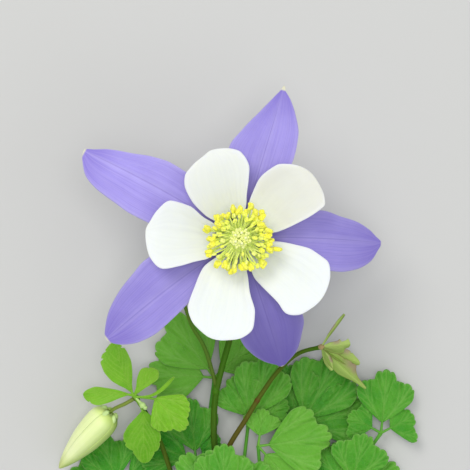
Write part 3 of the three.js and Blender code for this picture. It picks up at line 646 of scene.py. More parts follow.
def petal(claw, angle, reach, left, right, shade=0):
    """A petal: its spur is a tube whose inner side opens at the mouth and spreads into the blade."""
    v = over(PETAL_COLUMNS)
    centre = around_bloom(claw, 0, 0, 0)
    side = around_bloom(claw, 0, 1, 0) - centre
    outward = around_bloom(claw, 1, 0, 0) - centre

    def ring(middle, out, radius):
        round_it = np.cos(np.pi * v)[..., None] * out[:, None] + np.sin(np.pi * v)[..., None] * side
        return middle[:, None] + radius[..., None, None] * round_it

    def blade(t):
        half = half_width(t, v, (*left, *PETAL_TIP), (*right, *PETAL_TIP))
        climb = np.clip((t - 0.15) / 0.85, 0, None) ** 0.8
        middle = np.sin(np.pi * t)
        z = PETAL_MOUTH_Z + PETAL_RISE * climb + PETAL_CUP * v * v * middle
        z = z + PETAL_LAP * v * bell(t / 0.4)
        z = z - PETAL_GROOVE * (1 - t) * bell(v / 0.25)
        z = z + PETAL_WAVE * middle**2 * np.cos(5.5 * v + claw) + PETAL_FOLD * middle * np.cos(24 * v)
        z = z - PETAL_TIP_DROP * np.clip((t - 0.8) / 0.2, 0, 1) ** 2
        return around_bloom(claw + (angle - claw) * t, reach * t, v * half, z)

    path = curve([around_bloom(claw, out, 0, z) for out, z in SPUR_PATH], SPUR_ROWS)[::-1]
    across_spur = unit(np.cross(side, unit(np.gradient(path, axis=0))))
    radius = smooth(SPUR_PROFILE, np.linspace(1, 0, SPUR_ROWS))
    depth = (path[-1][2] - path[:, 2]) / LUMEN_DEPTH
    lumen_radius = radius * (LUMEN_LEAST + (LUMEN_MOST - LUMEN_LEAST) * bell(depth))
    f = down(FUNNEL_ROWS + 1)[1:]
    flare = (f * f * (3 - 2 * f))[..., None]
    forward = np.repeat(outward[None], FUNNEL_ROWS, 0)
    lip = ring(path[-1] + LIP_RISE * f, forward, LIP_RADIUS + LIP_FLARE * f[:, 0])
    funnel = (1 - flare) * lip + flare * blade(0.16 + 0.2 * f)
    limb = blade(blade_rows(0.36, BLADE_ROWS + 1)[1:])
    wall = np.concatenate([ring(path, across_spur, radius), funnel, limb])
    # mark carries shade, partly painted shade
    return petal_wall(wall, ring(path, across_spur, lumen_radius), v, tone=claw / 360, mark=shade)


def petal_wall(grid, lumen, v, **values):
    """A petal's skin: closed to a tube round its lumen below the mouth row, and open to a blade above it."""
    rows, columns = grid.shape[:2]
    mouth = SPUR_ROWS - 1
    in_spur = (np.arange(rows) <= mouth)[:, None]
    wrapped = normals_of(np.concatenate([grid[:, -2:-1], grid, grid[:, 1:2]], 1))[:, 1:-1]
    normal = np.where(in_spur[..., None], wrapped, normals_of(grid))
    thick = PETAL_THICKNESS * np.where(in_spur, 1, 0.35 + 0.65 * (1 - np.abs(v) ** 8))
    thick = thick * np.minimum(1, 0.4 + 12 * (1 - down(rows)))
    step = normal * thick[..., None] / 2
    inner, outer = grid + step, grid - step
    inner[: mouth + 1] = lumen
    count = rows * columns
    at = np.arange(count).reshape(rows, columns)
    at[: mouth + 1, -1] = at[: mouth + 1, 0]
    quads = np.stack([at[:-1, :-1], at[1:, :-1], at[1:, 1:], at[:-1, 1:]], -1).reshape(-1, 4)
    rim = np.concatenate([at[mouth:-1, 0], at[-1, :-1], at[:mouth:-1, -1]])
    tips = np.stack([inner[0, :-1].mean(0), outer[0, :-1].mean(0) - [0, 0, 0.25]])
    j, k = at[0, :-1], np.roll(at[0, :-1], -1)
    inner_cap = np.stack([np.full(columns - 1, 2 * count), j, k], 1)
    outer_cap = np.stack([np.full(columns - 1, 2 * count + 1), k + count, j + count], 1)
    walls = walls_between(rim, np.append(rim[1:], at[mouth, 0]), count)
    faces = [quads, quads[:, ::-1] + count, walls, inner_cap, outer_cap]
    keep = np.unique(np.concatenate([f.reshape(-1) for f in faces]))
    index = np.zeros(2 * count + 2, int)
    index[keep] = np.arange(len(keep))

    def both(values):
        """Values for the inner skin, the outer one and the two tips."""
        return np.append(np.tile(np.broadcast_to(values, (rows, columns)).reshape(-1), 2), [0, 0])[keep]

    # edge marks the rim of the blade, where the petal gets a painted highlight
    edge = np.maximum(np.abs(v) ** 14, np.clip((down(rows) - 0.96) / 0.04, 0, 1)) * ~in_spur
    points = np.concatenate([inner.reshape(-1, 3), outer.reshape(-1, 3), tips])[keep]
    under = np.append(np.repeat([0, 1], count), [0, 1])[keep]
    made = Gather()
    faces = [index[f] for f in faces]
    made.add(points, faces, along=both(down(rows)), across=both(v), under=under, rim=both(edge), **values)
    return made


def build_discs(sepal_tissue, petal_tissue):
    """The two discs on which the sepals and the petals meet."""
    for name, material, slot, low, high, radius, node in (
        ("sepal_disc", sepal_tissue, "sepal", 42, 43.3, 2.6, "bloom_sepals"),
        ("petal_disc", petal_tissue, "petal", 43.9, 45.6, 3.7, "bloom_petals"),
    ):
        made = Gather()
        path = np.stack([around_bloom(0, 0, 0, z) for z in np.linspace(low, high, 12)])
        made.tube(path, radius * np.sqrt(1 - np.linspace(-0.9, 0.9, 12) ** 4), sides=40, along=0.58)
        made.piece(name, material, slot, node)


STAMEN_FOOT_Z = 45.5
GOLDEN_ANGLE = 137.508
STAMEN_RINGS = (
    dict(count=30, near=0.2, far=2.6, top=59.5, drop=0.7, length=1, width=0.4, ripe=0, arch=0.6),
    dict(count=56, near=3.6, far=7, top=58.8, drop=2.2, length=1.3, width=0.38, ripe=0.3, arch=0.92),
    dict(count=20, near=5.4, far=7.8, top=57.2, drop=2.2, length=1.8, width=0.48, ripe=0.7, arch=0.85),
)
RIM_STAMENS = (  # heading, spread and top of each cluster at the tuft's rim
    (4, 7.4, 56.4), (16, 7.5, 57), (33, 6.6, 57.6), (45, 8.4, 56), (60, 7.3, 57), (74, 8.7, 56.2),
    (90, 7.5, 56.8), (105, 7.7, 56.4), (122, 6.9, 57), (136, 7.7, 56.4), (151, 6.8, 57), (164, 8.7, 55.6),
    (182, 7.4, 56.4), (196, 7.2, 56), (203, 8.7, 55.4), (228, 9.2, 54.6), (243, 7.8, 55.6), (259, 8.6, 55),
    (277, 7.6, 55.8), (294, 8.3, 55.2), (311, 8.8, 54.8), (338, 8.4, 55.4), (352, 8, 55.8),
)
RIM_CLUSTER = 2
RIM_SCATTER = (4, 0.5, 0.6)
LONG_STAMEN = (-17, 9.9, 53.8)
OPEN_SECTOR = (195, 330)  # headings where the tuft's filaments show between its anthers
FILAMENT_RADII = (0.3, 0.2)
BUNDLE = (  # heights and radii of the tuft's inner mass
    (46.8, 1.8), (50, 2.7), (52.4, 4), (53.2, 4.5), (54, 4.2), (55.4, 3.2), (56.8, 1.9), (57.4, 0.1),
)
CARPEL_CLEARANCE = 1.9


def stamen(angle, spread, top, arch):
    """A filament's path from the tuft's foot to its anther; the more it arches, the higher it bends out."""
    foot = max(CARPEL_CLEARANCE, 1.3 + 0.11 * spread)
    knee = foot + (0.7 - 0.47 * arch) * (spread - foot)
    return curve([
        around_bloom(angle, foot, 0, STAMEN_FOOT_Z),
        around_bloom(angle + shake(8), knee, 0, STAMEN_FOOT_Z + arch * (top - STAMEN_FOOT_Z)),
        around_bloom(angle, spread, 0, top),
    ], 16)


def add_anther(made, centre, axis, length, width, tone):
    """Two pollen sacs side by side."""
    axis = unit(axis)
    aside = unit(np.cross(axis, draw.normal(0, 1, 3)))
    share = np.linspace(-0.97, 0.97, 10)
    for hand in (-1, 1):
        path = centre + hand * 0.55 * width * aside + share[:, None] * length / 2 * axis
        made.tube(path, width * (1 - share**4) ** 0.5, sides=9, tone=tone)


def add_stamen(sacs, threads, angle, spread, top, length=2.2, width=0.55, ripe=0.9, arch=0.7):
    """One stamen: its filament goes with the threads, its anther with the sacs."""
    path = stamen(angle, spread, top, arch)
    threads.tube(path, np.linspace(*FILAMENT_RADII, len(path)), sides=7, tone=ripe)
    lean = unit(path[-1] - path[-3]) + draw.normal(0, 0.35, 3)
    length = length * draw.uniform(0.85, 1.15)
    add_anther(sacs, path[-1], lean, length, width, ripe + shake(0.15))


def add_ring(sacs, threads, count, near, far, top, drop, length, width, ripe, arch):
    """A disc of stamens at even density, of which many in the open sector bend out to the rim."""
    for k in range(count):
        share = math.sqrt((k + 0.5) / count)
        angle = (k * GOLDEN_ANGLE + shake(9)) % 360
        spread = near + (far - near) * share * draw.uniform(0.85, 1.04)
        tip = top - drop * share - draw.uniform(0, 0.8)
        if OPEN_SECTOR[0] < angle < OPEN_SECTOR[1] and 3.6 < spread < 8 and draw.random() < 0.6:
            spread, tip = 8 + shake(0.8), tip - 1.6
        add_stamen(sacs, threads, angle, spread, tip, length, width, ripe, arch)


def build_stamens(anthers, filaments):
    sacs, threads = Gather(), Gather()
    for ring in STAMEN_RINGS:
        add_ring(sacs, threads, **ring)
    for angle, spread, top in RIM_STAMENS:
        for _ in range(RIM_CLUSTER):
            place = (value + shake(off) for value, off in zip((angle, spread, top), RIM_SCATTER))
            add_stamen(sacs, threads, *place)
    add_stamen(sacs, threads, *LONG_STAMEN, length=3.4, width=0.6)
    share = np.linspace(0, 1, len(BUNDLE))
    z, girth = (evenly(np.stack([share, column], 1), 40) for column in np.transpose(BUNDLE))
    axis = np.stack([0 * z, 0 * z, z], 1) + around_bloom(0, 0, 0, 0)
    threads.tube(axis, girth, sides=180, ribs=30, rib_depth=0.09, tone=0.5)
    sacs.piece("anthers", anthers, "stamen", "bloom_stamens")
    threads.piece("filaments", filaments, "stamen", "bloom_stamens")


STYLE_PATH = [(0.7, 45.2), (0.8, 49), (0.85, 54), (1.5, 60.4)]
STYLE_PROFILE = [(0, 0.6), (0.2, 0.85), (0.5, 0.78), (0.66, 0.46), (0.86, 0.34), (0.95, 0.4), (1, 0.22)]
STAMINODES = 10
STAMINODE_HALF_WIDTH = 0.62
STAMINODE_HEIGHT = 12


def build_pistils(material):
    """Five styles on their ovaries, and the papery staminodes that wrap them."""
    made = Gather()
    for shape in SEPALS.values():
        path = curve([around_bloom(shape["claw"], out, 0, z) for out, z in STYLE_PATH], 28)
        made.tube(path, evenly(STYLE_PROFILE, 28), sides=10, tone=0.5)
    t, u = down(24), over(7)
    half = STAMINODE_HALF_WIDTH * np.sin(np.pi * (0.18 + 0.79 * t)) + 0.02
    for k in range(STAMINODES):
        out = 1.65 + 0.45 * t * t + 0.1 * np.cos(9 * t + k) + 0.1 * u * u
        grid = around_bloom(360 * k / STAMINODES + 11, out, u * half, STAMEN_FOOT_Z + STAMINODE_HEIGHT * t)
        made.sheet(grid, 0.2, along=0.5 + 0.5 * t, across=u, tone=0.5)
    made.piece("pistils", material, "pistil", "bloom_pistils")


# ---------------- leaves

LEAF_THICKNESS = 0.26
LEAST_Z = 0.2
FAN_HALF_ANGLE = math.radians(56)
LOBED = [(-1, 0.84), (-0.8, 0.98), (-0.6, 0.95), (-0.4, 0.86), (-0.2, 0.97), (0, 1),
         (0.2, 0.97), (0.4, 0.86), (0.6, 0.95), (0.8, 0.98), (1, 0.84)]
LOBE_CENTRES = (-0.72, 0, 0.72)
SIDE_VEINS = ((0.42, 0.28), (0.36, 0.55))  # how far each leans out, and where it starts
VEIN_WIDTH = 0.02
VEIN_DEPTH = 0.13
FAN_EDGE_LIFT, FAN_DROOP, FAN_LOBE_WAVE, FAN_TOOTH_WAVE = 0.1, 0.16, 0.035, 0.012  # shares of its length
NOTCH_WIDTH, MIDRIB_WIDTH, RIB_WIDTH = 0.016, 0.14, 0.13
RIB_STARTS = (0.06, 0.18, 0.32, 0.48, 0.64)
STALK_PROFILE = [(0, 0.42), (1, 0.3)]


def turned(points, at, heading, pitch=0, roll=0):
    """Points laid along +X, turned to a heading, lifted by a pitch, rolled, and moved to their place."""
    turn = Matrix.Rotation(math.radians(heading), 3, "Z") @ Matrix.Rotation(math.radians(-pitch), 3, "Y")
    turn = np.array(turn @ Matrix.Rotation(math.radians(roll), 3, "X"))
    return points @ turn.T + np.asarray(at, float)


def fan_veins(share, u):
    """How strongly the veins show over a fan: one up each lobe, with side veins to its teeth."""
    strongest = np.zeros(np.broadcast(share, u).shape)
    for centre in LOBE_CENTRES:
        sides = [(hand * slope, start, 0.7) for hand in (-1, 1) for slope, start in SIDE_VEINS]
        for slope, start, weight in [(0, 0, 1), *sides]:
            away = np.abs(u - centre - slope * (share - start)) * np.maximum(share, 0.12)
            here = weight * bell(away / VEIN_WIDTH) * (share >= start)
            strongest = np.maximum(strongest, here)
    return strongest


def add_fan(made, at, heading, pitch, roll, length, width, lobes=LOBED, teeth=9, tooth=0.05, tone=0.5):
    """A leaflet whose veins and lobes spread like a fan from its base."""
    share = np.linspace(0.03, 1, 36)[:, None]
    u = over(91)
    spread = width / (2 * math.sin(FAN_HALF_ANGLE) * 0.86 * length)
    scallop = 1 - tooth * (1 - np.abs(np.sin(np.pi * teeth * (u + 1) / 2)) ** 0.5)
    r = length * share * (0.9 + (smooth(lobes, u) * scallop - 0.9) * share**2)
    x = r * np.cos(FAN_HALF_ANGLE * u)
    y = r * spread * (1.25 - 0.25 * share) * np.sin(FAN_HALF_ANGLE * u)
    veins = fan_veins(share, u)
    bend = FAN_EDGE_LIFT * u * u * share - FAN_DROOP * (x / length) ** 2
    bend = bend + FAN_LOBE_WAVE * share**2 * np.cos(3 * np.pi * u)
    bend = bend + FAN_TOOTH_WAVE * share**2 * np.sin(np.pi * teeth * (u + 1) + 1)
    z = length * bend - VEIN_DEPTH * veins + 0.1 * np.sin(2.3 * x + heading) * np.sin(1.9 * y + pitch)
    grid = turned(np.stack([x, y, z], -1), at, heading, pitch, roll)
    grid[..., 2] = np.maximum(grid[..., 2], LEAST_Z)
    rim = np.clip((share - 0.955) / 0.045, 0, 1)
    made.sheet(grid, LEAF_THICKNESS, along=share, across=u, tone=tone, mark=veins, rim=rim)


def add_blade(made, at, heading, pitch, roll, length, left, right, tone, notches=(), fold=0.1, droop=0.08):
    """A leaflet along a midrib, with an outline of its own on each side and notches near its tip.

    A notch is its place along the blade, its depth as a share of the half-width, and its hand, 1 or -1.
    """
    t, u = blade_rows(0.02, 80), over(41)
    half = half_width(t, u, left, right)
    for place, depth, hand in notches:
        half = half * (1 - depth * bell((t - place) / NOTCH_WIDTH) * (np.sign(u) == hand))
    y = u * half
    veins = bell(y / MIDRIB_WIDTH) * (1 - 0.6 * t)
    for start in RIB_STARTS:
        away = np.abs(np.abs(u) - 2 * (t - start) + 0.9 * (t - start) ** 2) * half * 0.6
        rib = 0.7 * bell(away / RIB_WIDTH) * (t > start) * (1 - 0.5 * np.abs(u))
        veins = np.maximum(veins, rib)
    z = fold * np.abs(y) - droop * length * t * t - VEIN_DEPTH * veins
    z = z + 0.12 * np.sin(0.9 * length * t + 2 * u + heading) * np.abs(u)
    grid = turned(np.stack(np.broadcast_arrays(length * t, y, z), -1), at, heading, pitch, roll)
    rim = np.clip((np.abs(u) - 0.93) / 0.07, 0, 1)
    made.sheet(grid, LEAF_THICKNESS, along=t, across=u, tone=tone, mark=veins, rim=rim)


def add_stalk(made, points, profile=STALK_PROFILE, **values):
    made.tube(curve(points, 14), evenly(profile, 14), sides=10, mark=0.6, part=1, **values)


CROWN_X, CROWN_TOP_Y = -2, -73.6
CROWN_HALF_WIDTH, CROWN_HALF_HEIGHT = 7.2, 4.8


def seated(across, z):
    """A stalk's first two points, on the crown's domed top."""
    off = (across / CROWN_HALF_WIDTH) ** 2 + (z / CROWN_HALF_HEIGHT - 1) ** 2
    y = CROWN_TOP_Y + 1.2 * (1 - min(off, 1)) + 0.2
    return [(CROWN_X + across, y, z), (CROWN_X + across, y + 2, z)]


PETIOLE_STEPS = 60
PETIOLE_PROFILE = [(0, 1), (0.05, 0.7), (0.5, 0.6), (0.97, 0.5), (1, 0.62)]
LEAFLET_STALK = 3
LEAVES = {
    "leaf_behind_bloom": dict(
        seat=(-1.6, 1.7), petiole=[(-5.5, -50, 1.3), (-8.2, -24, 1.4), (-6.1, -3.8, 2.2)], tone=0.95,
        leaflets=[(175, 4, 6, 20, 19), (126, 6, -5, 22.5, 20), (42, 4, 4, 16, 16)]),
    "leaf_right_far": dict(
        seat=(1.6, 1.7), petiole=[(5, -55, 1.4), (13, -33, 1.4), (19, -18.5, 1.9)], tone=0.4,
        leaflets=[(104, 5, 5, 19, 18), (62, 5, 0, 24, 21), (18, 4, -6, 21, 18)]),
    "leaf_right_edge": dict(
        seat=(4.6, 2.2), petiole=[(14, -57, 2.6), (30, -38, 3.6), (42.5, -19.7, 5)], tone=0.35,
        leaflets=[(84, 5, 6, 18.5, 17), (28, 2, -4, 10.9, 14), (150, 8, 4, 11, 12)]),
    "leaf_left_low": dict(
        seat=(-4.9, 2.2), petiole=[(-14, -60, 1.8), (-26, -48, 1.6), (-34, -36.7, 1.9)], tone=0.3,
        leaflets=[(108, 2, 4, 16.5, 16), (164, 1, 4, 16, 16), (30, 2, -4, 16.5, 16)]),
    "leaf_centre": dict(
        seat=(0.4, 4), petiole=[(0.6, -52, 4), (2.2, -32, 4.2), (3.8, -17.4, 5)], tone=0.55,
        leaflets=[(106, 8, 5, 15, 15), (72, 7, 0, 22, 17), (32, 6, -5, 13.5, 14)]),
    "leaf_left_inner": dict(
        seat=(-3.2, 4.4), petiole=[(-7.5, -55, 4), (-10.5, -40, 4), (-11.3, -28, 4.8)], tone=0.2,
        leaflets=[(96, 4, 6, 18.5, 15.5), (158, 4, 4, 18, 16), (52, 3, -8, 10, 10)]),
    "leaf_right_middle": dict(
        seat=(3.4, 4.6), petiole=[(6, -52, 5.4), (7.4, -36, 6.4), (6.7, -23.2, 7.4)], tone=1,
        leaflets=[(8, 8, 4, 21.5, 20), (-48, 4, -4, 19.5, 18), (82, 6, 0, 11, 11)]),
    "leaf_right_low": dict(
        seat=(5.6, 4.6), petiole=[(15, -60, 4.8), (26, -46, 4.9), (33.4, -35.4, 5.2)], tone=0.5,
        leaflets=[(75, 20, 5, 17, 17), (20, 4, 5, 15.5, 15), (136, 1, 4, 15, 15)]),
    "leaf_front": dict(
        seat=(2.4, 7.2), petiole=[(2.6, -62, 10), (0.4, -50, 12.4), (-3.7, -40, 13.2)], tone=0.65,
        leaflets=[(128, 8, 8, 19, 18), (88, 12, 0, 18.5, 17), (42, 6, -8, 18, 17)]),
}


def build_leaf(name, material, seat, petiole, tone, leaflets):
    made = Gather()
    path = curve([*seated(*seat), *petiole], PETIOLE_STEPS)
    radius = evenly(PETIOLE_PROFILE, PETIOLE_STEPS)
    made.tube(path, radius, ribs=5, rib_depth=0.05, tone=0.3, mark=0.4, part=1)
    for heading, pitch, roll, length, width in leaflets:
        lie = petiole[-1], heading, pitch, roll
        fan = length - LEAFLET_STALK
        ends = [[0, 0, 0], [1.5, 0, 0.05], [LEAFLET_STALK + 0.12 * fan, 0, -0.02 * fan]]
        add_stalk(made, turned(np.array(ends), *lie), tone=tone)
        base = turned(np.array([LEAFLET_STALK, 0, 0]), *lie)
        add_fan(made, base, *lie[1:], fan, width, tone=tone + shake(0.12))
    made.piece(name + "_blades", material, "leaf", name)


SPRAY_HUB = (-28.7, -8.1, 15.3)
SPRAY_BLADES = {
    "top": dict(
        at=(-29.3, -7, 15.8), heading=110.8, pitch=12, roll=4, length=15.4,
        left=(2, 0.3, 12, 1.2, 25, 2.9, 40, 4.4, 60, 5.2, 72, 5.2, 88, 3.8, 97, 1.6, 100, 0.2),
        right=(2, 0.3, 12, 0.7, 25, 1.5, 40, 2.4, 60, 3.1, 80, 2.9, 93, 1.9, 100, 0.2),
        notches=[(0.8, 0.16, 1), (0.91, 0.26, 1), (0.87, 0.3, -1)], tone=0.6),
    "left": dict(
        at=(-30.4, -7.4, 15.6), heading=180, pitch=8, roll=-4, length=12.7,
        left=(2, 0.3, 20, 1.1, 45, 2.4, 68, 3.1, 85, 2.4, 100, 0.15),
        right=(2, 0.3, 25, 1.3, 50, 1.9, 72, 2.2, 88, 1.6, 100, 0.15),
        notches=[(0.86, 0.16, 1)], tone=0.75),
    "small": dict(
        at=(-28.8, -7.6, 15.8), heading=47, pitch=15, roll=-6, length=10,
        left=(2, 0.3, 20, 1, 45, 2.7, 69, 3.6, 87, 2.6, 100, 0.15),
        right=(2, 0.3, 30, 0.8, 60, 1.5, 82, 1.8, 94, 1.2, 100, 0.15),
        notches=[(0.88, 0.14, 1)], tone=0.9),
    "lower": dict(
        at=(-26.2, -11.8, 15), heading=-89.5, pitch=-3, roll=3, length=15.6,
        left=(2, 0.3, 11, 2.3, 33, 4.2, 50, 5, 67, 4.6, 76, 3.9, 82, 3, 92, 2.1, 100, 0.3),
        right=(2, 0.3, 11, 1.6, 33, 4.7, 50, 5.8, 67, 5.2, 75, 3.8, 82, 2.9, 92, 1.9, 100, 0.3),
        notches=[(0.6, 0.08, 1), (0.79, 0.14, 1), (0.62, 0.08, -1), (0.77, 0.14, -1)], tone=0.35),
}
BROAD_LEAFLET = dict(
    at=(-22.8, -8.3, 16.2), heading=-46, pitch=4, roll=-5, length=12.6, width=15.5,
    lobes=[(-1, 0.7), (-0.75, 0.8), (-0.45, 0.84), (-0.3, 0.84), (-0.1, 0.99), (0.1, 1), (0.34, 0.88),
           (0.5, 0.88), (0.75, 0.84), (1, 0.72)],
    teeth=11, tooth=0.055, tone=1)
SPRAY_STALKS = (  # each from the hub
    [(-29, -7.5, 15.7), (-29.7, -6, 16)],
    [(-29.6, -7.6, 15.5), (-31.2, -7.4, 15.7)],
    [(-28.6, -7.8, 15.6), (-28, -6.8, 16)],
    [(-25.8, -8.3, 15.8), (-22.2, -8.8, 16.2)],
    [(-27.2, -10.3, 15.2), (-26.2, -12.6, 15)],
)
SPRAY_LANCE = [(-27, -8.2, 15.9), (-23.6, -7.6, 16.8), (-21, -6, 17.5), (-17.2, -2.2, 18.5)]
TINY_BUD = (-26.4, -10.4, 16.4)


def add_strap(made, points, width, fold=0.2, tone=0.5, tip=0.2):
    """A narrow blade along a curve, widest past its middle."""
    path = curve(points, 44)
    left = unit(np.cross([0, 0, 1], unit(np.gradient(path, axis=0))))
    t, u = down(44), over(13)
    half = width / 2 * smooth([(0, 0.45), (0.3, 0.7), (0.7, 1), (0.92, 0.7), (1, tip)], t)
    grid = path[:, None] + (u * half)[..., None] * left[:, None]
    grid[..., 2] += fold * np.abs(u * half) + 0.06 * np.sin(11 * t + 2 * u)
    middle, rim = bell(u / 0.16), np.clip((np.abs(u) - 0.85) / 0.15, 0, 1)
    made.sheet(grid, LEAF_THICKNESS, along=t, across=u, tone=tone, mark=middle, rim=rim)


def build_spray(material):
    made = Gather()
    for blade in SPRAY_BLADES.values():
        add_blade(made, **blade)
    add_fan(made, **BROAD_LEAFLET)
    for points in SPRAY_STALKS:
        add_stalk(made, [SPRAY_HUB, *points], profile=[(0, 0.45), (1, 0.3)], tone=0.5)
    add_strap(made, SPRAY_LANCE, 1.1, tone=0.9)
    made.piece("spray_blades", material, "young_leaf", "spray_leaves")


def build_tiny_bud(material):
    """The tiny bud in the spray's fork: two lobes on a short stalk."""
    made = Gather()
    for x, y, radius in ((0, 0, 0.95), (0.75, -0.7, 0.7)):
        path = curve([SPRAY_HUB, np.add(TINY_BUD, (x, y, -0.7)), np.add(TINY_BUD, (x, y, 0.9))], 14)
        girth = radius * evenly([(0, 0.35), (0.5, 0.5), (0.75, 1), (0.92, 0.8), (1, 0.2)], 14)
        made.tube(path, girth, sides=14, ribs=5, rib_depth=0.07, tone=0.5, along=0.3, mark=1)
    made.piece("tiny_bud", material, "bud", "spray_leaves")


BRACT_FOOT = (25, 5.8, 14.6)
LINEAR_BRACT = [(24.9, 6.4, 14.6), (26.6, 9.2, 15.6), (28.8, 12.6, 17.6), (30.9, 15.6, 20)]
FOLDED_BRACT = {
    "main": dict(
        heading=-44, pitch=-9, roll=22, length=17.6,
        left=(2, 0.6, 15, 1.9, 30, 2.6, 44, 3.6, 56, 3.9, 63, 2.6, 76, 1.2, 90, 0.7, 100, 0.1),
        right=(2, 0.6, 15, 1.5, 30, 2.1, 46, 2.2, 60, 1.6, 76, 0.9, 90, 0.5, 100, 0.1),
        notches=[(0.36, 0.14, 1), (0.5, 0.1, 1)], tone=0.5, fold=0.5, droop=0.02),
    "upper": dict(
        heading=8, pitch=4, roll=-14, length=7.9,
        left=(2, 0.5, 30, 1.2, 55, 1.3, 66, 1.7, 72, 1, 88, 1.3, 95, 1.6, 100, 0.1),
        right=(2, 0.5, 30, 1.8, 60, 2.5, 72, 2.3, 80, 1.1, 93, 0.9, 100, 0.1),
        tone=0.8, fold=0.3, droop=0.06),
    "under": dict(
        heading=-22, pitch=-6, roll=-20, length=11.9,
        left=(2, 0.5, 30, 1.8, 60, 2.2, 85, 1.3, 100, 0.1),
        right=(2, 0.5, 30, 1.6, 60, 2.2, 85, 1.3, 100, 0.1),
        notches=[(0.7, 0.2, 1)], tone=0.45, fold=0.35, droop=0.1),
    "small": dict(
        heading=-68, pitch=-8, roll=10, length=7.2,
        left=(2, 0.4, 30, 1.1, 60, 1.3, 85, 0.8, 100, 0.1),
        right=(2, 0.4, 30, 0.9, 60, 1.1, 85, 0.7, 100, 0.1),
        tone=0.9, fold=0.3, droop=0.04),
}


def build_bracts(material):
    linear, folded = Gather(), Gather()
    add_strap(linear, LINEAR_BRACT, 1.05, fold=0.25, tone=0.7, tip=0.5)
    linear.piece("linear_bract", material, "young_leaf", "branch_bract_linear")
    for blade in FOLDED_BRACT.values():
        add_blade(folded, BRACT_FOOT, **blade)
    folded.piece("folded_bract", material, "young_leaf", "branch_bract_folded")


# ---------------- stems

FORK = (-4.1, -33.6, 7.5)
FLOWER_STALK = [
    FORK, (-5.9, -23.3, 8.6), (-5.8, -9.6, 9.5), (-4, -0.9, 10), (-1.7, 7.4, 10.2), (0.9, 19.4, 10.8),
    (2, 30.3, 13), (1.6, 35, 20), (1.4, 36.8, 30), (*BLOOM, 39.5),
]
STALK_FOOT = [*seated(0, 7.4), (-3.2, -50.7, 7.2), FORK]
LEFT_BRANCH = [(-5.4, -5.6, 9.8), (-8.9, 5.7, 10), (-12.4, 11.8, 11), (-14.4, 17.6, 12), (-16.3, 23, 13)]
RIGHT_BRANCH = [
    FORK, (-2.3, -24.4, 9), (3.5, -14.5, 10), (7.8, -7.5, 10.5), (12.7, -0.8, 11), (18.4, 4.1, 12.5),
    (24.6, 6, 14.2),
]
RECEPTACLE = [(*BLOOM, z) for z in (36.5, 38.4, 40.3, 42.2)]
SCAR_AT, SCAR_WIDTH = 0.513, 0.012
SCARRED = [
    (0, 0.8), (SCAR_AT - SCAR_WIDTH, 0.72), (SCAR_AT, 0.88), (SCAR_AT + SCAR_WIDTH, 0.7), (0.96, 0.6),
    (1, 0.75),
]
WITHERED = 2  # a stem's tone where it is dry and brown
SPRAY_NODE = (-28.4, -8.6, 13.4)
BUD_STALK = [
    *seated(-3.4, 7), (-11.3, -50.7, 7.4), (-18.2, -31.5, 9), (-21.6, -21.4, 10.4), (-24.4, -15.1, 11.8),
    SPRAY_NODE,
]
PEDICEL = [SPRAY_NODE, (-31.6, -10.4, 13.5), (-34.4, -11.7, 12.9), (-36, -12.9, 12.2)]


def add_stem(made, points, profile, steps, sides=14, mark=0, tone=0):
    """A stem with five faint ribs. mark is one number or one for each step."""
    mark = np.append(np.repeat(np.broadcast_to(mark, (steps,)), sides), [0, 0])
    path, radius = curve(points, steps), evenly(profile, steps)
    made.tube(path, radius, sides=sides, ribs=5, rib_depth=0.03, mark=mark, tone=tone)


def knot(centre, lean, radius):
    """The swollen node at a stem's fork: its points and its profile."""
    centre, lean = np.array(centre), np.array(lean)
    return [centre - lean, centre, centre + lean], [(0, 0.55 * radius), (0.5, radius), (1, 0.5 * radius)]


def build_stems(skin):
    main, right, bud = Gather(), Gather(), Gather()
    add_stem(main, FLOWER_STALK, [(0, 0.95), (1, 0.8)], 120, sides=16)
    add_stem(main, STALK_FOOT, [(0, 1.5), (0.06, 1.25), (1, 1.05)], 50, sides=16)
    add_stem(main, LEFT_BRANCH, [(0, 0.62), (1, 0.5)], 50, tone=0.25)
    add_stem(main, RECEPTACLE, [(0, 0.8), (0.5, 1.3), (0.85, 2.2), (1, 2.3)], 16, sides=20)
    add_stem(main, *knot(FORK, (-0.1, 1.9, 0.15), 1.55), 16)
    add_stem(main, *knot((-5.6, -7.2, 9.7), (-0.1, 1.9, 0.1), 1.05), 16)
    share = np.linspace(0, 1, 96)
    redness = 0.6 * (1 - share) ** 0.5 + 0.4 * bell((share - SCAR_AT) / SCAR_WIDTH)
    add_stem(right, RIGHT_BRANCH, SCARRED, 96, mark=np.clip(redness, 0, 1))
    add_stem(right, *knot((24.7, 6, 14.3), (0.9, 0.15, 0.1), 0.9), 16, tone=WITHERED)
    add_stem(bud, BUD_STALK, [(0, 1), (0.05, 0.82), (1, 0.62)], 96)
    add_stem(bud, PEDICEL, [(0, 0.6), (1, 0.5)], 24, mark=0.15, tone=0.75)
    add_stem(bud, *knot(SPRAY_NODE, (-0.8, 0.8, 0.5), 1), 14, mark=0.2)
    main.piece("flower_stalk", skin, "stem", "flower_stem")
    right.piece("right_stalk", skin, "stem", "flower_stem")
    bud.piece("bud_stalk", skin, "stem", "bud_stem")


# ---------------- buds

BUD_OUTLINE = [
    (0, 0.3), (0.03, 0.7), (0.1, 0.93), (0.2, 1), (0.42, 0.93), (0.7, 0.64), (0.88, 0.35), (0.97, 0.14),
    (1, 0.04),
]
BUD_SPUR = [(0, 0.1), (0.5, 0.16), (0.85, 0.12), (1, 0.06)]
BUD_SEPALS = 5
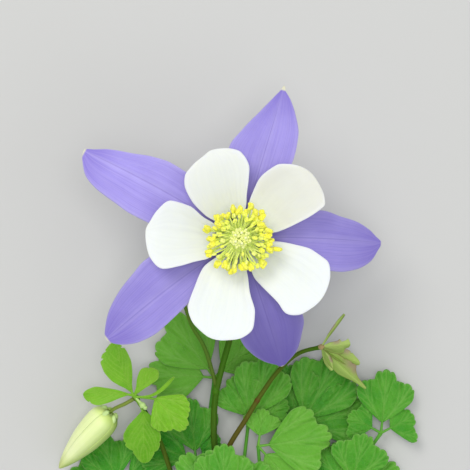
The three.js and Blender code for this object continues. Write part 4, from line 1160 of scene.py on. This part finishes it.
# the side of a bud that gets painted shade
BUD_SHADED_SIDE = unit(np.array([0.62, -0.72, 0]))
BUDS = {
    "pale_bud": dict(foot=(-35.8, -12.9, 12.1), tip=(-50.9, -29.5, 7.2), radius=4.7, spur_length=0.5),
    "small_bud": dict(foot=(-16.7, 24.4, 13), tip=(-19.8, 37.7, 12), radius=2.4, spur_length=1),
}


def build_bud(node, material, foot, tip, radius, spur_length):
    """A closed bud: sepals that lap side over side round a core, and a short spur between each two."""
    foot, tip = np.asarray(foot, float), np.asarray(tip, float)
    axis = unit(tip - foot)
    length = np.linalg.norm(tip - foot)
    sideways = unit(np.cross([0, 0, 1], axis))
    upright = np.cross(axis, sideways)

    def round_axis(degrees):
        turn = np.radians(degrees)
        return np.cos(turn)[..., None] * sideways + np.sin(turn)[..., None] * upright

    made = Gather()
    t, u = blade_rows(0, 70), over(21)
    lap = 0.025 * u + 0.035 * (1 - u * u)
    r = smooth(BUD_OUTLINE, t) * radius * (0.93 + lap) - 0.05 * bell(u / 0.1)
    for k in range(BUD_SEPALS):
        step = 360 / BUD_SEPALS
        tone = k / BUD_SEPALS
        away = round_axis(step * k + 43 * u + 14 * t)
        grid = foot + (t * length)[..., None] * axis + r[..., None] * away
        # painted shade on the side of each sepal that is away from the light
        painted_shade = np.clip(away @ BUD_SHADED_SIDE, 0, 1)[:, ::-1]
        made.sheet(grid[:, ::-1], 0.24, along=t, across=u[:, ::-1], tone=tone, part=painted_shade)
        away = round_axis(np.array(step * (k + 0.5)))
        spur = curve([
            foot + 0.1 * length * axis + 0.68 * radius * away,
            foot + 0.03 * length * axis + 0.58 * radius * away,
            foot - spur_length * axis + 0.34 * radius * away,
        ], 16)
        made.tube(spur, radius * evenly(BUD_SPUR, 16), tone=tone, mark=0.8)
    core = np.linspace(0.02, 0.96, 40)
    path = foot + core[:, None] * length * axis
    made.tube(path, 0.88 * radius * smooth(BUD_OUTLINE, core), sides=24, tone=0.5, across=0.9)
    made.piece(node + "_sepals", material, "bud", node)


# ---------------- crown

CROWN_OUTLINE = [
    (1.2, 0.1), (0.9, 0.5), (0.6, 0.72), (0, 1), (-2.5, 0.97), (-5.5, 0.78), (-8.5, 0.58), (-12.5, 0.5),
]
CROWN_UNDERSIDE = 1.35
ROOT_STUMPS = (
    [(-3, -78, 3.4), (-7.4, -81, 2), (-9.6, -85.5, 1.2)],
    [(-1, -78, 3.4), (3.4, -80.6, 2.4), (5.6, -84.6, 1.2)],
    [(-1.6, -80, 5), (-0.6, -83.5, 7.4), (0.6, -85.6, 8.6)],
)
STUMP_PROFILE = [(0, 1.9), (0.5, 1.3), (0.94, 0.85), (1, 0.7)]
CROWN_SCALES = 11


def crown_body():
    """The knobbly surface of the rootstock, as rows of rings from its top to its cut end."""
    place = np.arange(len(CROWN_OUTLINE))
    fine = place[-1] * down(60)
    back, share = np.array(CROWN_OUTLINE).T
    y = smooth(np.stack([place, back], 1), fine)
    turn = np.linspace(0, 2 * np.pi, 72, endpoint=False)[None, :]
    knobs = 1 + 0.05 * np.cos(3 * turn + 0.8 * y) + 0.035 * np.cos(11 * turn + 1.3 * y)
    knobs = knobs + 0.03 * np.sin(4.2 * y)
    width = smooth(np.stack([place, share], 1), fine) * np.where(y < 0, knobs, 1)
    deep = np.where(np.sin(turn) < 0, CROWN_UNDERSIDE, 1)
    height = np.maximum(CROWN_HALF_HEIGHT * (1 + deep * width * np.sin(turn)), 0.02)
    x = CROWN_X + CROWN_HALF_WIDTH * width * np.cos(turn)
    return np.stack(np.broadcast_arrays(x, CROWN_TOP_Y + y, height), -1)


def cut_end(count, sides):
    """A mark on the last of a stack of rings, where the root is cut."""
    return np.append(np.repeat((np.arange(count) == count - 1) * 1, sides), [0, 1])


def build_crown(bark):
    made = Gather()
    body = crown_body()
    made.rings(body, body[[0, -1]].mean(1), tone=0.3, mark=cut_end(*body.shape[:2]))
    for points in ROOT_STUMPS:
        path, radius = curve(points, 30), evenly(STUMP_PROFILE, 30)
        made.tube(path, radius, sides=16, ribs=7, rib_depth=0.05, tone=draw.random(), mark=cut_end(30, 16))
    made.piece("rootstock", bark, "crown", "crown")


def build_crown_scales(papery):
    """The dry bases of old leaf stalks, which stand round the crown's top."""
    made = Gather()
    t, u = down(22), over(11)
    for k in range(CROWN_SCALES):
        turn = math.radians(200 - 220 * k / (CROWN_SCALES - 1)) + shake(0.08)
        reach = draw.uniform(4.2, 5.4)
        wide = draw.uniform(1, 1.5) * smooth([(0, 0.8), (0.35, 1), (0.8, 0.45), (1, 0.06)], t)
        around = turn + u * wide / 6.5
        out = 0.99 + 0.1 * np.sin(np.pi * t) - 0.1 * t + 0.02 * np.cos(7 * u)
        x = CROWN_X + CROWN_HALF_WIDTH * out * np.cos(around)
        z = np.maximum(CROWN_HALF_HEIGHT * (1 + out * np.sin(around)), LEAST_Z)
        grid = np.stack(np.broadcast_arrays(x, CROWN_TOP_Y - 1.6 + reach * t, z), -1)
        made.sheet(grid, 0.3, along=t, across=u, tone=draw.random())
    made.piece("crown_scales", papery, "crown", "crown")


# ---------------- the whole plant


def build_bloom():
    sepal_tissue, petal_tissue = sepal_paint(), petal_paint()
    for name, shape in SEPALS.items():
        sepal(**shape).piece(name, sepal_tissue, "sepal", "bloom_sepals")
    for name, shape in PETALS.items():
        petal(**shape).piece(name, petal_tissue, "petal", "bloom_petals")
    build_discs(sepal_tissue, petal_tissue)
    build_stamens(anther_paint(), filament_paint())
    build_pistils(pistil_paint())


def build_leaves():
    leaf = leaf_paint("leaf_tissue", (40, 146, 16), (110, 184, 54), (148, 202, 98), (124, 168, 104))
    for name, shape in LEAVES.items():
        build_leaf(name, leaf, **shape)
    young = leaf_paint("young_leaf_tissue", (84, 158, 12), (132, 198, 40), (176, 216, 92), (146, 188, 84))
    build_spray(young)
    build_bracts(bract_paint())


def build_plant():
    build_bloom()
    build_leaves()
    build_stems(stem_paint())
    bud = bud_paint()
    for node, shape in BUDS.items():
        build_bud(node, bud, **shape)
    build_tiny_bud(bud)
    build_crown(crown_paint())
    build_crown_scales(scale_paint())


build_camera()
build_stage()
build_plant()
